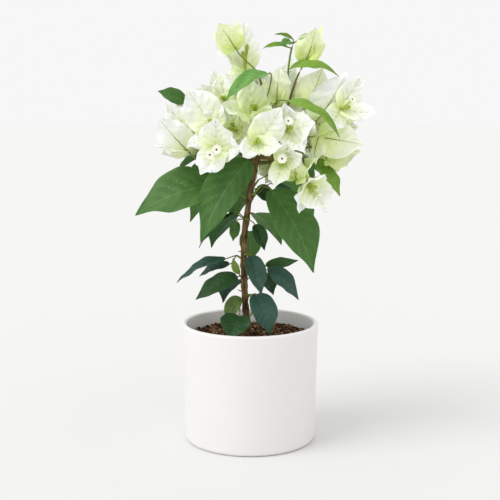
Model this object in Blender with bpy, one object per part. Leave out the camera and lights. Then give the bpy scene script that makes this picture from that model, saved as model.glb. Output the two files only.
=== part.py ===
"""A small white bougainvillea grown as a standard in a straight ceramic pot.

Metres, +Z up. The origin is the middle of the pot's flat underside, and -Y is the plant's front.
Every solid is a loft through rings of points: level rings for the pot and the soil, round rings
for the stem and its boughs, three-sided ones for the twigs, and four-sided ones for the leaves
and bracts, whose points are the left edge, the underside, the right edge and the top. A direction
is given as a turn and a lift in degrees: turn 0 looks to the front and +90 to the right, and
lift 90 looks straight up. Lengths in the tables are millimetres, which mm() and place() turn to
metres.
"""

import math
import random
from collections import namedtuple

import bmesh
import bpy
from mathutils import Vector
from mathutils.bvhtree import BVHTree

MM = 0.001

# Pot: a straight cylinder with a slight taper, a rounded lip and a softened foot.
POT_HEIGHT = 105
RIM_RADIUS = 60
FOOT_RADIUS = 57.4
POT_WALL = 4.4
POT_FLOOR = 6
FOOT_ROUNDING = 3.5
POT_SIDES = 48
SOIL_BELOW_RIM = 12
SOIL_SIDES = 24
SOIL_BUMP = 1.1
SOIL_RINGS = (0.8, 0.5)
SOIL_FLAT_RADIUS = 9
SOIL_SEED = 5
GAP = 0.3
SMOOTH_ANGLE = 35

# Main stem: where its middle line runs, from the soil to the fork, and how thick it is.
STEM_ROUTE = [
    (-1.6, 0, 93.3),
    (-2.4, 0, 106),
    (-4.2, 0, 119),
    (-5.0, 0.4, 140),
    (-5.6, 0.6, 161),
    (-4.8, 0.2, 184),
    (-2.2, 0, 203),
    (0.6, 0, 222),
    (4.6, 0, 242),
    (9.6, 0, 257),
]
STEM_FOOT_RADIUS = 4.6
STEM_LOW_RADIUS = 2.7
STEM_FORK_RADIUS = 2.2
STEM_FLARE_HEIGHT = 14
STEM_SIDES = 8

# Boughs, twigs and stalks.
BOUGH_BASE_RADIUS = 1.8
BOUGH_TIP_RADIUS = 1.3
BOUGH_SIDES = 6
TWIG_RADIUS = 1.15
STALK_RADIUS = 0.95
PETIOLE_RADIUS = 0.75
TWIG_SIDES = 3
LIMB_STEPS = 4
SIDE_STEM_LIFT = 45

# Blades: the half-width at a share t of the length follows t**rise * (1 - t)**fall. The two edges
# stand above the midrib by the fold, and near the root they reach back past it by the sweep.
Form = namedtuple("Form", "tone stations rise fall fold")
LEAF_FORM = Form("leaf", (0.1, 0.34, 0.62, 0.86), 0.62, 0.95, 0.22)
BRACT_FORM = Form("bract", (0.16, 0.48, 0.8), 0.5, 0.72, 0.25)
EDGE_SWEEP = 0.3
BLADE_THICKNESS = 0.022
LEAST_THICKNESS = 0.8
ROOT_THICKER = 1.2
TIP_THINNER = 0.5

# Bracts and flowers.
BRACT_WIDTH = 0.84
BRACT_ARCH = -0.1
ROOT_DEPTH = 1.2
TUBE_LENGTH = 15
FLOWER_LEAN = 0.3
FLOWER_SIDES = 5
FLOWER_PROFILE = ((0, 0.9), (0.88, 1.2), (0.95, 4.8), (1, 4.8))
CLEARANCE = 0.28

# Where a bract has no room it grows smaller and leans: the scales and leans it tries in turn.
CROWDED = (
    (1, 0), (0.94, -8), (0.94, 8), (0.86, -15), (0.86, 14), (0.75, -22), (0.74, 4), (0.72, 22), (0.6, -10),
    (0.58, 12), (0.5, -24),
)

Bough = namedtuple("Bough", "name height turn tip")
Leaf = namedtuple("Leaf", "base tip width faces arch", defaults=((0, 40), 0.08))
Bract = namedtuple("Bract", "tip width")
Trio = namedtuple("Trio", "at faces flowers bracts")
Mass = namedtuple("Mass", "name limb along turn reach leaves trios", defaults=((),))
Sector = namedtuple("Sector", "turns lifts trios leaves seed")
Shape = namedtuple("Shape", "points faces tone")

# Each bough leaves the stem at a height, on the side that its turn names.
BOUGHS = [
    Bough("bough_leader", None, None, (14, 3, 289)),
    Bough("bough_left", 247, -95, (-27, -7, 244)),
    Bough("bough_front_left", 255, -40, (-10, -26, 259)),
    Bough("bough_right", 246, 80, (40, -3, 256)),
    Bough("bough_front_right", 251, 30, (25, -24, 250)),
    Bough("bough_back_left", 242, -150, (-18, 28, 264)),
    Bough("bough_back_right", 252, 150, (30, 27, 266)),
]

# Leaves that spring from the stem below the crown, in groups that share one short spur.
STEM_LEAVES = [
    Mass("leaves_at_soil_left", "main_stem", 125, -70, (-9, -6, 125), (
        Leaf((-9.6, -14, 113), (-18, -38, 97), 27, (0, 55)),
        Leaf((-9, -5, 128), (-21, -10, 108), 15, (-25, 10)),
    )),
    Mass("leaves_at_soil_right", "main_stem", 129, 60, (1.5, -5, 130), (
        Leaf((5.2, -8, 131), (17.5, -27, 99), 24, (10, 35)),
        Leaf((2.4, 3, 124), (-0.4, 7, 107), 9, (80, 20)),
    )),
    Mass("leaves_low_left", "main_stem", 145, -80, (-8.5, -2.5, 146), (
        Leaf((-11, -4, 146), (-48, -14, 129), 20, (-10, 50)),
        Leaf((-9.5, -7, 149), (-15, -8, 163), 8, (-30, 0)),
    )),
    Mass("leaves_mid_left", "main_stem", 161, -85, (-12, 1, 164), (
        Leaf((-21, 0, 161), (-65, -5, 142), 15, (0, 70)),
        Leaf((-18, 8, 155), (-46, 10, 145), 13, (-10, 60)),
    )),
    Mass("leaves_low_right", "main_stem", 152, 75, (1.5, 3, 153), (
        Leaf((16, -3, 154), (43.5, -12, 128), 19, (20, 45)),
        Leaf((14, 9, 154), (42.5, 12, 159), 13, (150, 30), -0.12),
        Leaf((4, 8, 148), (20.5, 12, 131), 14, (30, 30)),
    )),
    Mass("leaves_mid_right", "main_stem", 165, 20, (-2, -4.5, 166), (
        Leaf((0.8, -7, 164.5), (9.8, -22, 133), 18, (5, 30)),
    )),
    Mass("leaf_behind_stem", "main_stem", 182, 165, (-2, 6, 184), (
        Leaf((-1.5, 9, 184), (1, 15, 156), 20, (180, 40)),
    )),
    Mass("leaves_upper_mid", "main_stem", 196, -20, (-2, -6.5, 197), (
        Leaf((4.2, -6, 192), (12.8, -10, 170), 13, (15, 10)),
        Leaf((-11.5, -8, 195), (-15, -10, 178), 10, (-15, 5)),
        Leaf((-14, 1, 202), (-45.5, -12, 174), 8, (-40, 60)),
    )),
    Mass("leaf_big_front_left", "main_stem", 235, -35, (-1, -6, 244), (
        Leaf((-1.5, -8, 247.5), (-43.5, -36, 182), 38, (-20, 30), 0.06),
    )),
    Mass("leaf_big_left", "main_stem", 214, -105, (-14, 1, 222), (
        Leaf((-28, 0, 226), (-100, -10, 203), 47, (-6, 46), 0.07),
    )),
    Mass("leaf_big_right", "main_stem", 217, 40, (10, -6, 226), (
        Leaf((18, -8, 222), (56, -30, 155), 41, (25, 28), 0.07),
    )),
    Mass("leaves_upper_right", "main_stem", 213, 85, (5, 4, 217), (
        Leaf((5.5, 7, 222), (21, 12, 211), 15, (20, 20)),
        Leaf((21, 5, 226), (40, 5, 214), 10, (10, 60)),
    )),
    Mass("leaves_back_low", "main_stem", 137, 175, (-5, 7, 139), (
        Leaf((-9, 14, 140), (-26, 40, 116), 23, (-150, 50)),
        Leaf((2, 15, 142), (22, 42, 122), 24, (150, 50)),
    )),
    Mass("leaves_back_mid", "main_stem", 192, -165, (-6, 8, 196), (
        Leaf((-11, 14, 197), (-36, 40, 166), 28, (-145, 45)),
        Leaf((4, 15, 199), (30, 44, 170), 29, (150, 45)),
    )),
    Mass("leaf_big_back_left", "main_stem", 228, -160, (-3, 9, 234), (
        Leaf((-10, 14, 236), (-56, 46, 190), 37, (-140, 40)),
        Leaf((-4, 15, 231), (-15, 52, 188), 30, (-165, 40)),
    )),
    Mass("leaf_big_back_right", "main_stem", 224, 140, (8, 9, 230), (
        Leaf((17, 14, 232), (60, 50, 183), 38, (140, 40)),
    )),
]

# Leaves at the top, and masses of bracts, flowers and leaves that stand on the boughs.
CROWN_FRONT = [
    Mass("leaves_at_top", "bough_leader", 0.72, 95, (36.5, -2, 346), (
        Leaf((34, -10, 325), (75, -17, 321), 14, (-5, 58), 0.13),
        Leaf((36, -2, 350), (21, 0, 354), 5, (-30, 50), 0.12),
        Leaf((32, -4, 343), (11, -8, 343), 8, (-20, 55), 0.1),
        Leaf((34.5, -6, 347), (25, -11, 345), 9, (0, 40), 0.1),
        Leaf((39.5, -4, 348), (57, -7, 353), 8, (20, 65), 0.1),
    )),
    Mass("blossom_top_left", "bough_leader", 1.0, None, (7, 3, 322), (), (
        Trio((-12, -8, 342), (-135, 54), 0, (
            Bract((-26, -14, 363), 26), Bract((-30, 8, 358), 18), Bract((-11, 12, 365), 18))),
        Trio((-4, 6, 326), (10, 50), 0, (
            Bract((-28, 4, 362), 24), Bract((-4, 16, 366), 28), Bract((-16, -10, 305), 26))),
    )),
    Mass("blossom_top_right", "bough_leader", 0.45, 80, (43, -4, 324), (), (
        Trio((47, -4, 332), (120, 79), 0, (
            Bract((54, -10, 360), 27), Bract((59, 2, 363), 20), Bract((42, 4, 354), 20))),
    )),
    Mass("blossom_upper_centre", "bough_leader", 0.6, -20, (12, -12, 289), (
        Leaf((15, -15, 321), (-20, -36, 299), 20, (-10, 62), 0.1),
        Leaf((31, -26, 298), (76, -34, 270), 11, (15, 45), 0.16),
    ), (
        Trio((5, -16, 288), (-5, 45), 0, (
            Bract((-3, -4, 321), 32), Bract((15, 2, 316), 26), Bract((-23, -26, 297), 26))),
        Trio((23, -8, 297), (153, 79), 0, (
            Bract((25, -14, 328), 25), Bract((34, 0, 323), 20), Bract((17, 4, 322), 20))),
        Trio((9, -18, 281), (-5, 5), 0, (
            Bract((-12, -38, 282), 26), Bract((3, -42, 296), 30), Bract((21, -36, 291), 20))),
    )),
    Mass("blossom_upper_left", "bough_left", 0.7, -20, (-26, -16, 274), (
        Leaf((-56, 6, 297), (-79, 4, 307), 15, (-25, 35)),
    ), (
        Trio((-20, -4, 295), (-15, 45), 0, (
            Bract((-29, 2, 328), 32), Bract((-41, -8, 312), 22), Bract((-9, 10, 314), 22))),
        Trio((-30, -26, 277), (-20, 30), 0, (
            Bract((-53, -26, 309), 36), Bract((-24, -14, 306), 28), Bract((-53, -35, 262), 20))),
        Trio((-12, -12, 274), (-20, 20), 0, (
            Bract((-23, -10, 303), 30), Bract((-30, -24, 268), 24), Bract((2, -24, 268), 22))),
    )),
    Mass("blossom_left", "bough_left", 1.0, None, (-45, -12, 248), (), (
        Trio((-53, -14, 256), (-111, 41), 0, (
            Bract((-78, -22, 285), 30), Bract((-80, -6, 264), 26), Bract((-70, 12, 283), 24))),
        Trio((-46, -8, 272), (-40, 50), 0, (
            Bract((-72, -6, 297), 28), Bract((-52, -4, 302), 26), Bract((-52, 18, 288), 24))),
    )),
    Mass("blossom_front_left", "bough_front_left", 1.0, None, (-22, -34, 257), (), (
        Trio((-28, -38, 259), (-15, 0), 2, (
            Bract((-9, -53, 261), 24), Bract((-40, -58, 242), 26), Bract((-29, -49, 284), 31))),
    )),
    Mass("blossom_front_centre", "bough_leader", 0.12, -5, (6, -28, 264), (), (
        Trio((5, -38, 265), (0, 10), 0, (
            Bract((27, -46, 295), 32), Bract((-7, -62, 253), 21), Bract((24, -60, 263), 18))),
    )),
    Mass("blossom_front_right", "bough_front_right", 0.6, 5, (28, -28, 262), (), (
        Trio((30, -32, 274), (10, 20), 1, (
            Bract((29, -38, 296), 24), Bract((52, -46, 282), 30), Bract((44, -48, 259), 24))),
        Trio((27, -38, 248), (-10, 0), 1, (
            Bract((33, -50, 270), 27), Bract((20, -58, 231), 19), Bract((44, -52, 255), 20))),
    )),
    Mass("blossom_right_low", "bough_front_right", 1.0, None, (38, -26, 236), (), (
        Trio((39, -30, 234), (3, 54), 0, (
            Bract((36, -50, 249), 32), Bract((52, -44, 253), 24), Bract((33, -22, 257), 24))),
        Trio((49, -30, 229), (44, -30), 1, (
            Bract((66, -41, 209), 34), Bract((42, -44, 206), 25), Bract((62, -46, 240), 22))),
    )),
    Mass("blossom_upper_right", "bough_right", 0.75, 60, (53, -5, 282), (), (
        Trio((49, -4, 293), (150, 45), 0, (
            Bract((62, -4, 325), 33), Bract((47, 24, 316), 26), Bract((72, 26, 307), 26))),
        Trio((57, -8, 282), (139, 51), 0, (
            Bract((81, -10, 322), 36), Bract((55, 14, 301), 18), Bract((76, 20, 304), 26))),
        Trio((77, -20, 292), (35, 20), 1, (
            Bract((94, -18, 319), 24), Bract((106, -28, 290), 20), Bract((68, -34, 276), 24))),
    )),
    Mass("blossom_right", "bough_right", 1.0, None, (60, -8, 261), (
        Leaf((56, 8, 247), (79, 3, 216), 18, (40, 20), 0.06),
    ), (
        Trio((59, -18, 268), (124, -10), 0, (
            Bract((95, -18, 262), 34), Bract((81, 8, 285), 28), Bract((56, -26, 245), 24))),
        Trio((67, -3, 249), (124, -20), 0, (
            Bract((95, -4, 255), 25), Bract((76, 6, 235), 22), Bract((88, 22, 246), 24))),
        Trio((79, -4, 274), (133, 7), 0, (
            Bract((103, -4, 278), 22), Bract((92, 20, 261), 24), Bract((93, 20, 292), 26))),
    )),
]

# The rear of the crown follows a rule: each sector deals its trios over its turns and lifts.
CROWN_CENTRE = (10, 2, 268)
CROWN_RADII = (60, 50, 42)
CROWN_REAR = [
    ("blossom_back_far_left", "bough_left", 0.5, -160, (-36, 10, 262),
     Sector((-125, -98), (-15, 40), 2, 1, 17)),
    ("blossom_back_left", "bough_back_left", 1.0, None, (-34, 32, 266),
     Sector((-150, -108), (-25, 45), 4, 3, 11)),
    ("blossom_back_middle", "bough_back_left", 0.6, 170, (-6, 38, 282),
     Sector((-178, -145), (-15, 60), 4, 2, 22)),
    ("blossom_back_right", "bough_back_right", 1.0, None, (46, 34, 266),
     Sector((105, 142), (-30, 40), 4, 3, 13)),
    ("blossom_back_centre", "bough_back_right", 0.6, 185, (26, 38, 284),
     Sector((145, 178), (-20, 55), 4, 1, 14)),
    ("blossom_back_low", "bough_back_left", 0.3, 200, (2, 34, 243),
     Sector((155, 208), (-46, -26), 3, 0, 15)),
    ("blossom_top_back", "bough_leader", 0.8, 180, (14, 24, 304),
     Sector((130, 235), (48, 72), 3, 2, 16)),
]
REAR_BRACT = (33, 40)
REAR_SPREAD = (44, 62)
REAR_TURN_SCATTER = 14
REAR_LIFT_SCATTER = 8
REAR_LIFT_SHARE = 0.7
REAR_SPIN = 120
REAR_LEAF = (38, 56)
REAR_LEAF_WIDTH = 0.52
REAR_LEAF_DEPTH = 0.72
REAR_LEAF_DROP = (6, 18)
REAR_LEAF_LIFT = (-48, -15)
REAR_LEAF_FACING = 50
GOLDEN_SHARE = 0.618


def mm(length):
    return length * MM


def place(point):
    return Vector(point) * MM


def direction(turn, lift):
    """Unit vector that looks along a turn and a lift, both in degrees."""
    turn, lift = math.radians(turn), math.radians(lift)
    return Vector((math.sin(turn) * math.cos(lift), -math.cos(turn) * math.cos(lift), math.sin(lift)))


def clear_scene():
    for obj in list(bpy.data.objects):
        bpy.data.objects.remove(obj, do_unlink=True)


def material(name, colour, roughness):
    """Principled material, made once for each name."""
    made = bpy.data.materials.get(name)
    if made is None:
        made = bpy.data.materials.new(name)
        made.use_nodes = True
        shader = made.node_tree.nodes["Principled BSDF"]
        shader.inputs["Base Color"].default_value = (*colour, 1.0)
        shader.inputs["Roughness"].default_value = roughness
        shader.inputs["Metallic"].default_value = 0.0
        made.diffuse_color = (*colour, 1.0)
    return made


def tones():
    """The finishes of the parts, by the name that a shape's tone gives."""
    return {
        "pot": material("matt_white_ceramic", (0.83, 0.81, 0.80), 0.55),
        "soil": material("bark_and_peat", (0.07, 0.035, 0.02), 0.95),
        "bark": material("brown_bark", (0.13, 0.075, 0.035), 0.8),
        "leaf": material("green_leaf", (0.045, 0.12, 0.04), 0.5),
        "bract": material("cream_bract", (0.80, 0.84, 0.62), 0.6),
        "flower": material("cream_flower", (0.85, 0.84, 0.58), 0.6),
    }


# ---------------------------------------------------------------- lofted shapes


def loft(rings, tone):
    """Closed shape through rings of equal count; a ring of one point draws that end to a tip."""
    points = []
    faces = []
    last = None
    for ring in rings:
        here = list(range(len(points), len(points) + len(ring)))
        points.extend(ring)
        if last is None:
            if len(here) > 1:
                faces.append(here[::-1])
        elif len(last) == 1:
            faces.extend([last[0], here[i], here[i - 1]] for i in range(len(here)))
        elif len(here) == 1:
            faces.extend([last[i - 1], last[i], here[0]] for i in range(len(last)))
        else:
            count = len(here)
            faces.extend([last[i - 1], last[i], here[i], here[i - 1]] for i in range(count))
        last = here
    if len(last) > 1:
        faces.append(last)
    return Shape(points, faces, tone)


def circle(middle, radius, across, up, sides):
    turns = [2 * math.pi * i / sides for i in range(sides)]
    return [middle + radius * (math.cos(a) * across + math.sin(a) * up) for a in turns]


def turned(profile, sides, tone):
    """Loft of level rings about the Z axis; a profile row is a radius and a height in mm."""
    rings = []
    for radius, height in profile:
        middle = place((0, 0, height))
        ring = circle(middle, mm(radius), Vector((1, 0, 0)), Vector((0, 1, 0)), sides)
        rings.append(ring if radius else [middle])
    return loft(rings, tone)


def tangents(points, first=None):
    """Direction of a path at each of its points; the first can be given."""
    found = []
    for i in range(len(points)):
        before = points[max(i - 1, 0)]
        after = points[min(i + 1, len(points) - 1)]
        found.append((after - before).normalized())
    if first is not None:
        found[0] = first.normalized()
    return found


def limb(points, radii, sides, tone, first=None):
    """Round limb through points, whose rings stay square to the path and don't twist."""
    ways = tangents(points, first)
    across = ways[0].orthogonal().normalized()
    rings = []
    for point, radius, way in zip(points, radii, ways):
        across = (across - across.dot(way) * way).normalized()
        rings.append(circle(point, radius, across, way.cross(across), sides))
    return loft(rings, tone)


def bend(start, leave, end, arrive, steps):
    """Points of a smooth path that leaves one way and arrives another."""
    pull = (end - start).length
    path = []
    for i in range(steps + 1):
        t = i / steps
        path.append(
            start * (2 * t**3 - 3 * t**2 + 1)
            + leave * pull * (t**3 - 2 * t**2 + t)
            + end * (3 * t**2 - 2 * t**3)
            + arrive * pull * (t**3 - t**2)
        )
    return path


def taper(first, last, count):
    return [mm(first + (last - first) * i / (count - 1)) for i in range(count)]


def outline(t, rise, fall):
    """Half-width of a blade at t, as a share of its widest."""
    peak = rise / (rise + fall)
    return (t / peak) ** rise * ((1 - t) / (1 - peak)) ** fall


def blade(form, root, base, tip, width, faces, arch):
    """Leaf or bract: stalk rings from root to base, then a folded blade drawn to its tip.

    Without a root the blade has no stalk and starts as a point at its base.
    """
    length = (tip - base).length
    along = (tip - base).normalized()
    normal = (faces - faces.dot(along) * along).normalized()
    side = along.cross(normal)
    half = max(length * BLADE_THICKNESS, mm(LEAST_THICKNESS)) / 2
    spine = [base + length * (along * t + normal * arch * 4 * t * (1 - t)) for t in (*form.stations, 1.0)]
    stalk = bend(root, (base - root).normalized(), base, along, 2) if root else [base]
    path = stalk + spine
    points = (len(path) - 1,) if root else (0, len(path) - 1)
    rings = []
    for i, (point, way) in enumerate(zip(path, tangents(path))):
        across = (side - side.dot(way) * way).normalized()
        up = across.cross(way)
        if i in points:
            rings.append([point])
            continue
        if i < len(stalk):
            wide = thick = mm(PETIOLE_RADIUS)
            edge = Vector()
        else:
            t = form.stations[i - len(stalk)]
            wide = width / 2 * outline(t, form.rise, form.fall)
            thick = half * (ROOT_THICKER - TIP_THINNER * t)
            edge = wide * (up * form.fold - way * max(0.0, EDGE_SWEEP - t))
        reach = across * wide
        rings.append([point - reach + edge, point - up * thick, point + reach + edge, point + up * thick])
    return loft(rings, form.tone)


def leaf_blade(root, leaf):
    """A leaf of the tables, with its petiole rooted on the mass's stem."""
    facing = direction(*leaf.faces)
    return blade(LEAF_FORM, root, place(leaf.base), place(leaf.tip), mm(leaf.width), facing, leaf.arch)


def bract(trio, k, scale, shift):
    """A trio's bract at a scale, leaned away from the trio's axis by some degrees."""
    middle = place(trio.at)
    axis = direction(*trio.faces)
    reach = place(trio.bracts[k].tip) - middle
    way = reach.normalized()
    inward = (axis - axis.dot(way) * way).normalized()
    lean = math.radians(shift)
    leaned = math.cos(lean) * way - math.sin(lean) * inward
    inward = math.cos(lean) * inward + math.sin(lean) * way
    root = middle - axis * mm(ROOT_DEPTH)
    tip = middle + leaned * reach.length * scale
    return blade(BRACT_FORM, None, root, tip, mm(trio.bracts[k].width * scale), inward, BRACT_ARCH)


def flowers(trio):
    """Small tubular flowers, one inside each bract, each ending in a flat five-sided face."""
    axis = direction(*trio.faces)
    start = place(trio.at) - axis * mm(ROOT_DEPTH)
    found = []
    for k in range(trio.flowers):
        reach = place(trio.bracts[k].tip) - place(trio.at)
        away = (reach - reach.dot(axis) * axis).normalized()
        way = (axis + FLOWER_LEAN * away).normalized()
        side = way.orthogonal().normalized()
        rings = []
        for share, radius in FLOWER_PROFILE:
            middle = start + way * mm(TUBE_LENGTH * share)
            rings.append(circle(middle, mm(radius), side, way.cross(side), FLOWER_SIDES))
        found.append(loft(rings, "flower"))
    return found


# ---------------------------------------------------------------- placing shapes


class Garden:
    """Shapes placed so far, by node, with the test that keeps nodes clear of each other."""

    def __init__(self):
        self.shapes = {}
        self.trees = []

    def fits(self, name, shape, group):
        """True if the shape, swollen by the clearance, touches no other node and no other blade."""
        mesh = mesh_of(shape)
        swollen = [v.co + v.normal * mm(CLEARANCE) for v in mesh.verts]
        tree = BVHTree.FromPolygons(swollen, [[v.index for v in f.verts] for f in mesh.faces])
        mesh.free()
        for other, kin, known in self.trees:
            apart = other != name or (group is not None and kin is not None and kin != group)
            if apart and tree.overlap(known):
                return False
        return True

    def add(self, name, shape, group=None, needed=False):
        """Places the shape under its node if it fits, and says whether it did.

        Blades that share a group, such as one trio's bracts, may touch; limbs have no group.
        """
        if not needed and not self.fits(name, shape, group):
            return False
        self.shapes.setdefault(name, []).append(shape)
        self.trees.append((name, group, BVHTree.FromPolygons(shape.points, shape.faces)))
        return True


def mesh_of(shape):
    """bmesh of one shape with its faces turned outwards."""
    mesh = bmesh.new()
    points = [mesh.verts.new(point) for point in shape.points]
    for face in shape.faces:
        mesh.faces.new([points[i] for i in face])
    bmesh.ops.recalc_face_normals(mesh, faces=mesh.faces)
    mesh.verts.index_update()
    mesh.normal_update()
    return mesh


def object_of(name, shape, collection, finishes):
    """Object of one shape, in the finish that its tone names."""
    mesh = mesh_of(shape)
    data = bpy.data.meshes.new(name)
    mesh.to_mesh(data)
    mesh.free()
    data.materials.append(finishes[shape.tone])
    obj = bpy.data.objects.new(name, data)
    collection.objects.link(obj)
    return obj


def fused(name, shapes, finishes):
    """One object from a node's shapes: the first takes a union with all the others.

    The solver is MANIFOLD because EXACT seals small cavities in between the crossing blades.
    """
    scene = bpy.context.scene.collection
    obj = object_of(name, shapes[0], scene, finishes)
    if len(shapes) > 1:
        group = bpy.data.collections.new(name + "_pieces")
        scene.children.link(group)
        for i, shape in enumerate(shapes[1:]):
            object_of(f"{name}_piece_{i}", shape, group, finishes)
        union = obj.modifiers.new("union", "BOOLEAN")
        union.operation = "UNION"
        union.operand_type = "COLLECTION"
        union.collection = group
        union.solver = "MANIFOLD"
        union.material_mode = "TRANSFER"
        bpy.context.view_layer.update()
        joined = bpy.data.meshes.new_from_object(obj.evaluated_get(bpy.context.evaluated_depsgraph_get()))
        obj.modifiers.clear()
        obj.data = joined
        for piece in list(group.objects):
            bpy.data.objects.remove(piece, do_unlink=True)
        bpy.data.collections.remove(group)
        drop_scraps(joined)
    obj.data.shade_smooth()
    obj.data.set_sharp_from_angle(angle=math.radians(SMOOTH_ANGLE))
    return obj


def drop_scraps(data):
    """Keeps the largest connected body of a mesh."""
    mesh = bmesh.new()
    mesh.from_mesh(data)
    left = set(mesh.verts)
    bodies = []
    while left:
        body = {left.pop()}
        front = list(body)
        while front:
            point = front.pop()
            near = {edge.other_vert(point) for edge in point.link_edges} - body
            body |= near
            front.extend(near)
        left -= body
        bodies.append(body)
    bodies.sort(key=len)
    bmesh.ops.delete(mesh, geom=[v for body in bodies[:-1] for v in body], context="VERTS")
    mesh.to_mesh(data)
    mesh.free()


# ---------------------------------------------------------------- the plant's parts


def pot_shape():
    """Outer wall, rounded lip, inner wall and floor in one turned profile."""
    foot = FOOT_RADIUS - FOOT_ROUNDING
    lip = POT_WALL / 2
    rows = [(0, 0), (foot, 0)]
    for step in (1, 2):
        a = math.radians(45 * step)
        rows.append((foot + FOOT_ROUNDING * math.sin(a), FOOT_ROUNDING * (1 - math.cos(a))))
    for step in range(5):
        a = math.radians(45 * step)
        rows.append((RIM_RADIUS - lip + lip * math.cos(a), POT_HEIGHT - lip + lip * math.sin(a)))
    rows += [(FOOT_RADIUS - POT_WALL, POT_FLOOR), (0, POT_FLOOR)]
    return turned(rows, POT_SIDES, "pot")


def soil_shape():
    """Fill of the pot: a flat middle for the stem to stand on, and a lumpy top round it."""
    lumps = random.Random(SOIL_SEED)
    low = POT_FLOOR + GAP
    top = POT_HEIGHT - SOIL_BELOW_RIM
    shoulder = top - 2 * SOIL_BUMP
    lean = (RIM_RADIUS - FOOT_RADIUS) / POT_HEIGHT
    edge = FOOT_RADIUS - POT_WALL - 2 * GAP
    wide = edge + lean * shoulder
    sides = [(0, low), (edge, low), (wide, shoulder)]
    lumpy = [(wide * share, top) for share in SOIL_RINGS]
    shape = turned(sides + lumpy + [(SOIL_FLAT_RADIUS, top), (0, top)], SOIL_SIDES, "soil")
    first = 1 + (len(sides) - 1) * SOIL_SIDES
    for i in range(first, first + len(lumpy) * SOIL_SIDES):
        shape.points[i] += Vector((0, 0, mm(lumps.uniform(-SOIL_BUMP, SOIL_BUMP))))
    return shape


def stem_radius(height):
    """Taper from the low stem to the fork, with a flare over the soil."""
    low, top = STEM_ROUTE[0][2], STEM_ROUTE[-1][2]
    share = (height - low) / (top - low)
    flare = max(0.0, 1 - (height - low) / STEM_FLARE_HEIGHT) ** 2
    radius = STEM_LOW_RADIUS + (STEM_FORK_RADIUS - STEM_LOW_RADIUS) * share
    return radius + (STEM_FOOT_RADIUS - STEM_LOW_RADIUS) * flare


def stem_at(height):
    """Point of the stem's middle line at a height, and the way the stem runs there."""
    low, high = next(pair for pair in zip(STEM_ROUTE, STEM_ROUTE[1:]) if height <= pair[1][2])
    share = (height - low[2]) / (high[2] - low[2])
    return place(low).lerp(place(high), share), (place(high) - place(low)).normalized()


def stem_shape():
    points = [place(point) for point in STEM_ROUTE]
    radii = [mm(stem_radius(point[2])) for point in STEM_ROUTE]
    return limb(points, radii, STEM_SIDES, "bark", first=Vector((0, 0, 1)))


def from_stem(height, turn):
    """Where a side limb starts, just clear of the stem, and which way it leaves."""
    middle, run = stem_at(height)
    out = direction(turn, 0)
    out = (out - out.dot(run) * run).normalized()
    return middle + out * mm(stem_radius(height) + GAP), out


class Limbs:
    """Middle lines of the boughs, for the masses to stand on."""

    def __init__(self):
        self.lines = {}

    def grow_boughs(self, garden):
        """Adds every bough: the leader runs on from the fork, and the others leave the stem's side."""
        for bough in BOUGHS:
            if bough.height is None:
                way = (place(STEM_ROUTE[-1]) - place(STEM_ROUTE[-2])).normalized()
                start = place(STEM_ROUTE[-1]) + way * mm(GAP)
            else:
                start, way = from_stem(bough.height, bough.turn)
            tip = place(bough.tip)
            line = bend(start, way, tip, (tip - start).normalized(), LIMB_STEPS)
            radii = taper(BOUGH_BASE_RADIUS, BOUGH_TIP_RADIUS, len(line))
            garden.add(bough.name, limb(line, radii, BOUGH_SIDES, "bark", first=way), needed=True)
            self.lines[bough.name] = line

    def start_of(self, mass):
        """Start and leaving direction of a mass's stem: off a bough's tip or side, or off the stem."""
        if mass.limb == "main_stem":
            return from_stem(mass.along, mass.turn)
        line = self.lines[mass.limb]
        if mass.along == 1.0:
            way = (line[-1] - line[-2]).normalized()
            return line[-1] + way * mm(GAP), way
        whole = mass.along * (len(line) - 1)
        step = int(whole)
        middle = line[step].lerp(line[step + 1], whole - step)
        run = (line[step + 1] - line[step]).normalized()
        out = direction(mass.turn, SIDE_STEM_LIFT)
        out = (out - out.dot(run) * run).normalized()
        radius = BOUGH_BASE_RADIUS + (BOUGH_TIP_RADIUS - BOUGH_BASE_RADIUS) * mass.along
        return middle + out * mm(radius + GAP), out


def grow_stem_of(garden, limbs, mass):
    """A mass's own stem; its middle line is where the twigs and petioles root."""
    start, way = limbs.start_of(mass)
    end = place(mass.reach)
    line = bend(start, way, end, (end - start).normalized(), LIMB_STEPS - 1)
    shape = limb(line, taper(TWIG_RADIUS, STALK_RADIUS, len(line)), TWIG_SIDES, "bark", way)
    garden.add(mass.name, shape, needed=True)
    return line


def root_on(line, target):
    """The point of a stem's line, past its first third, that is nearest to a target."""
    spots = [a.lerp(b, t) for a, b in zip(line[1:], line[2:]) for t in (0.0, 0.5, 0.98)]
    return min(spots, key=lambda spot: (spot - target).length)


def grow_twig(garden, name, line, trio):
    """Stalk from the mass's stem to the middle of a trio; it says whether there was room."""
    middle = place(trio.at)
    root = root_on(line, middle)
    way = (middle - root).normalized()
    path = bend(root, way, middle, direction(*trio.faces), LIMB_STEPS - 1)
    return garden.add(name, limb(path, taper(STALK_RADIUS, STALK_RADIUS, len(path)), TWIG_SIDES, "bark"))


def between(limits, share):
    return limits[0] + (limits[1] - limits[0]) * share


def in_crown(turn, lift, depth):
    """Point of the crown's egg shape towards a turn and a lift, at a share of the way out."""
    out = direction(turn, lift)
    return Vector([c + r * depth * o for c, r, o in zip(CROWN_CENTRE, CROWN_RADII, out)])


def spread_bracts(at, faces, length, spread, spin):
    """Three even bracts that lean away from an axis by the spread."""
    axis = direction(*faces)
    across = axis.cross(Vector((0, 0, 1))).normalized()
    up = across.cross(axis)
    found = []
    for k in range(3):
        turn = math.radians(spin + 120 * k)
        outward = math.cos(turn) * across + math.sin(turn) * up
        way = math.cos(math.radians(spread)) * axis + math.sin(math.radians(spread)) * outward
        found.append(Bract(at + way * length, length * BRACT_WIDTH))
    return tuple(found)


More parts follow.
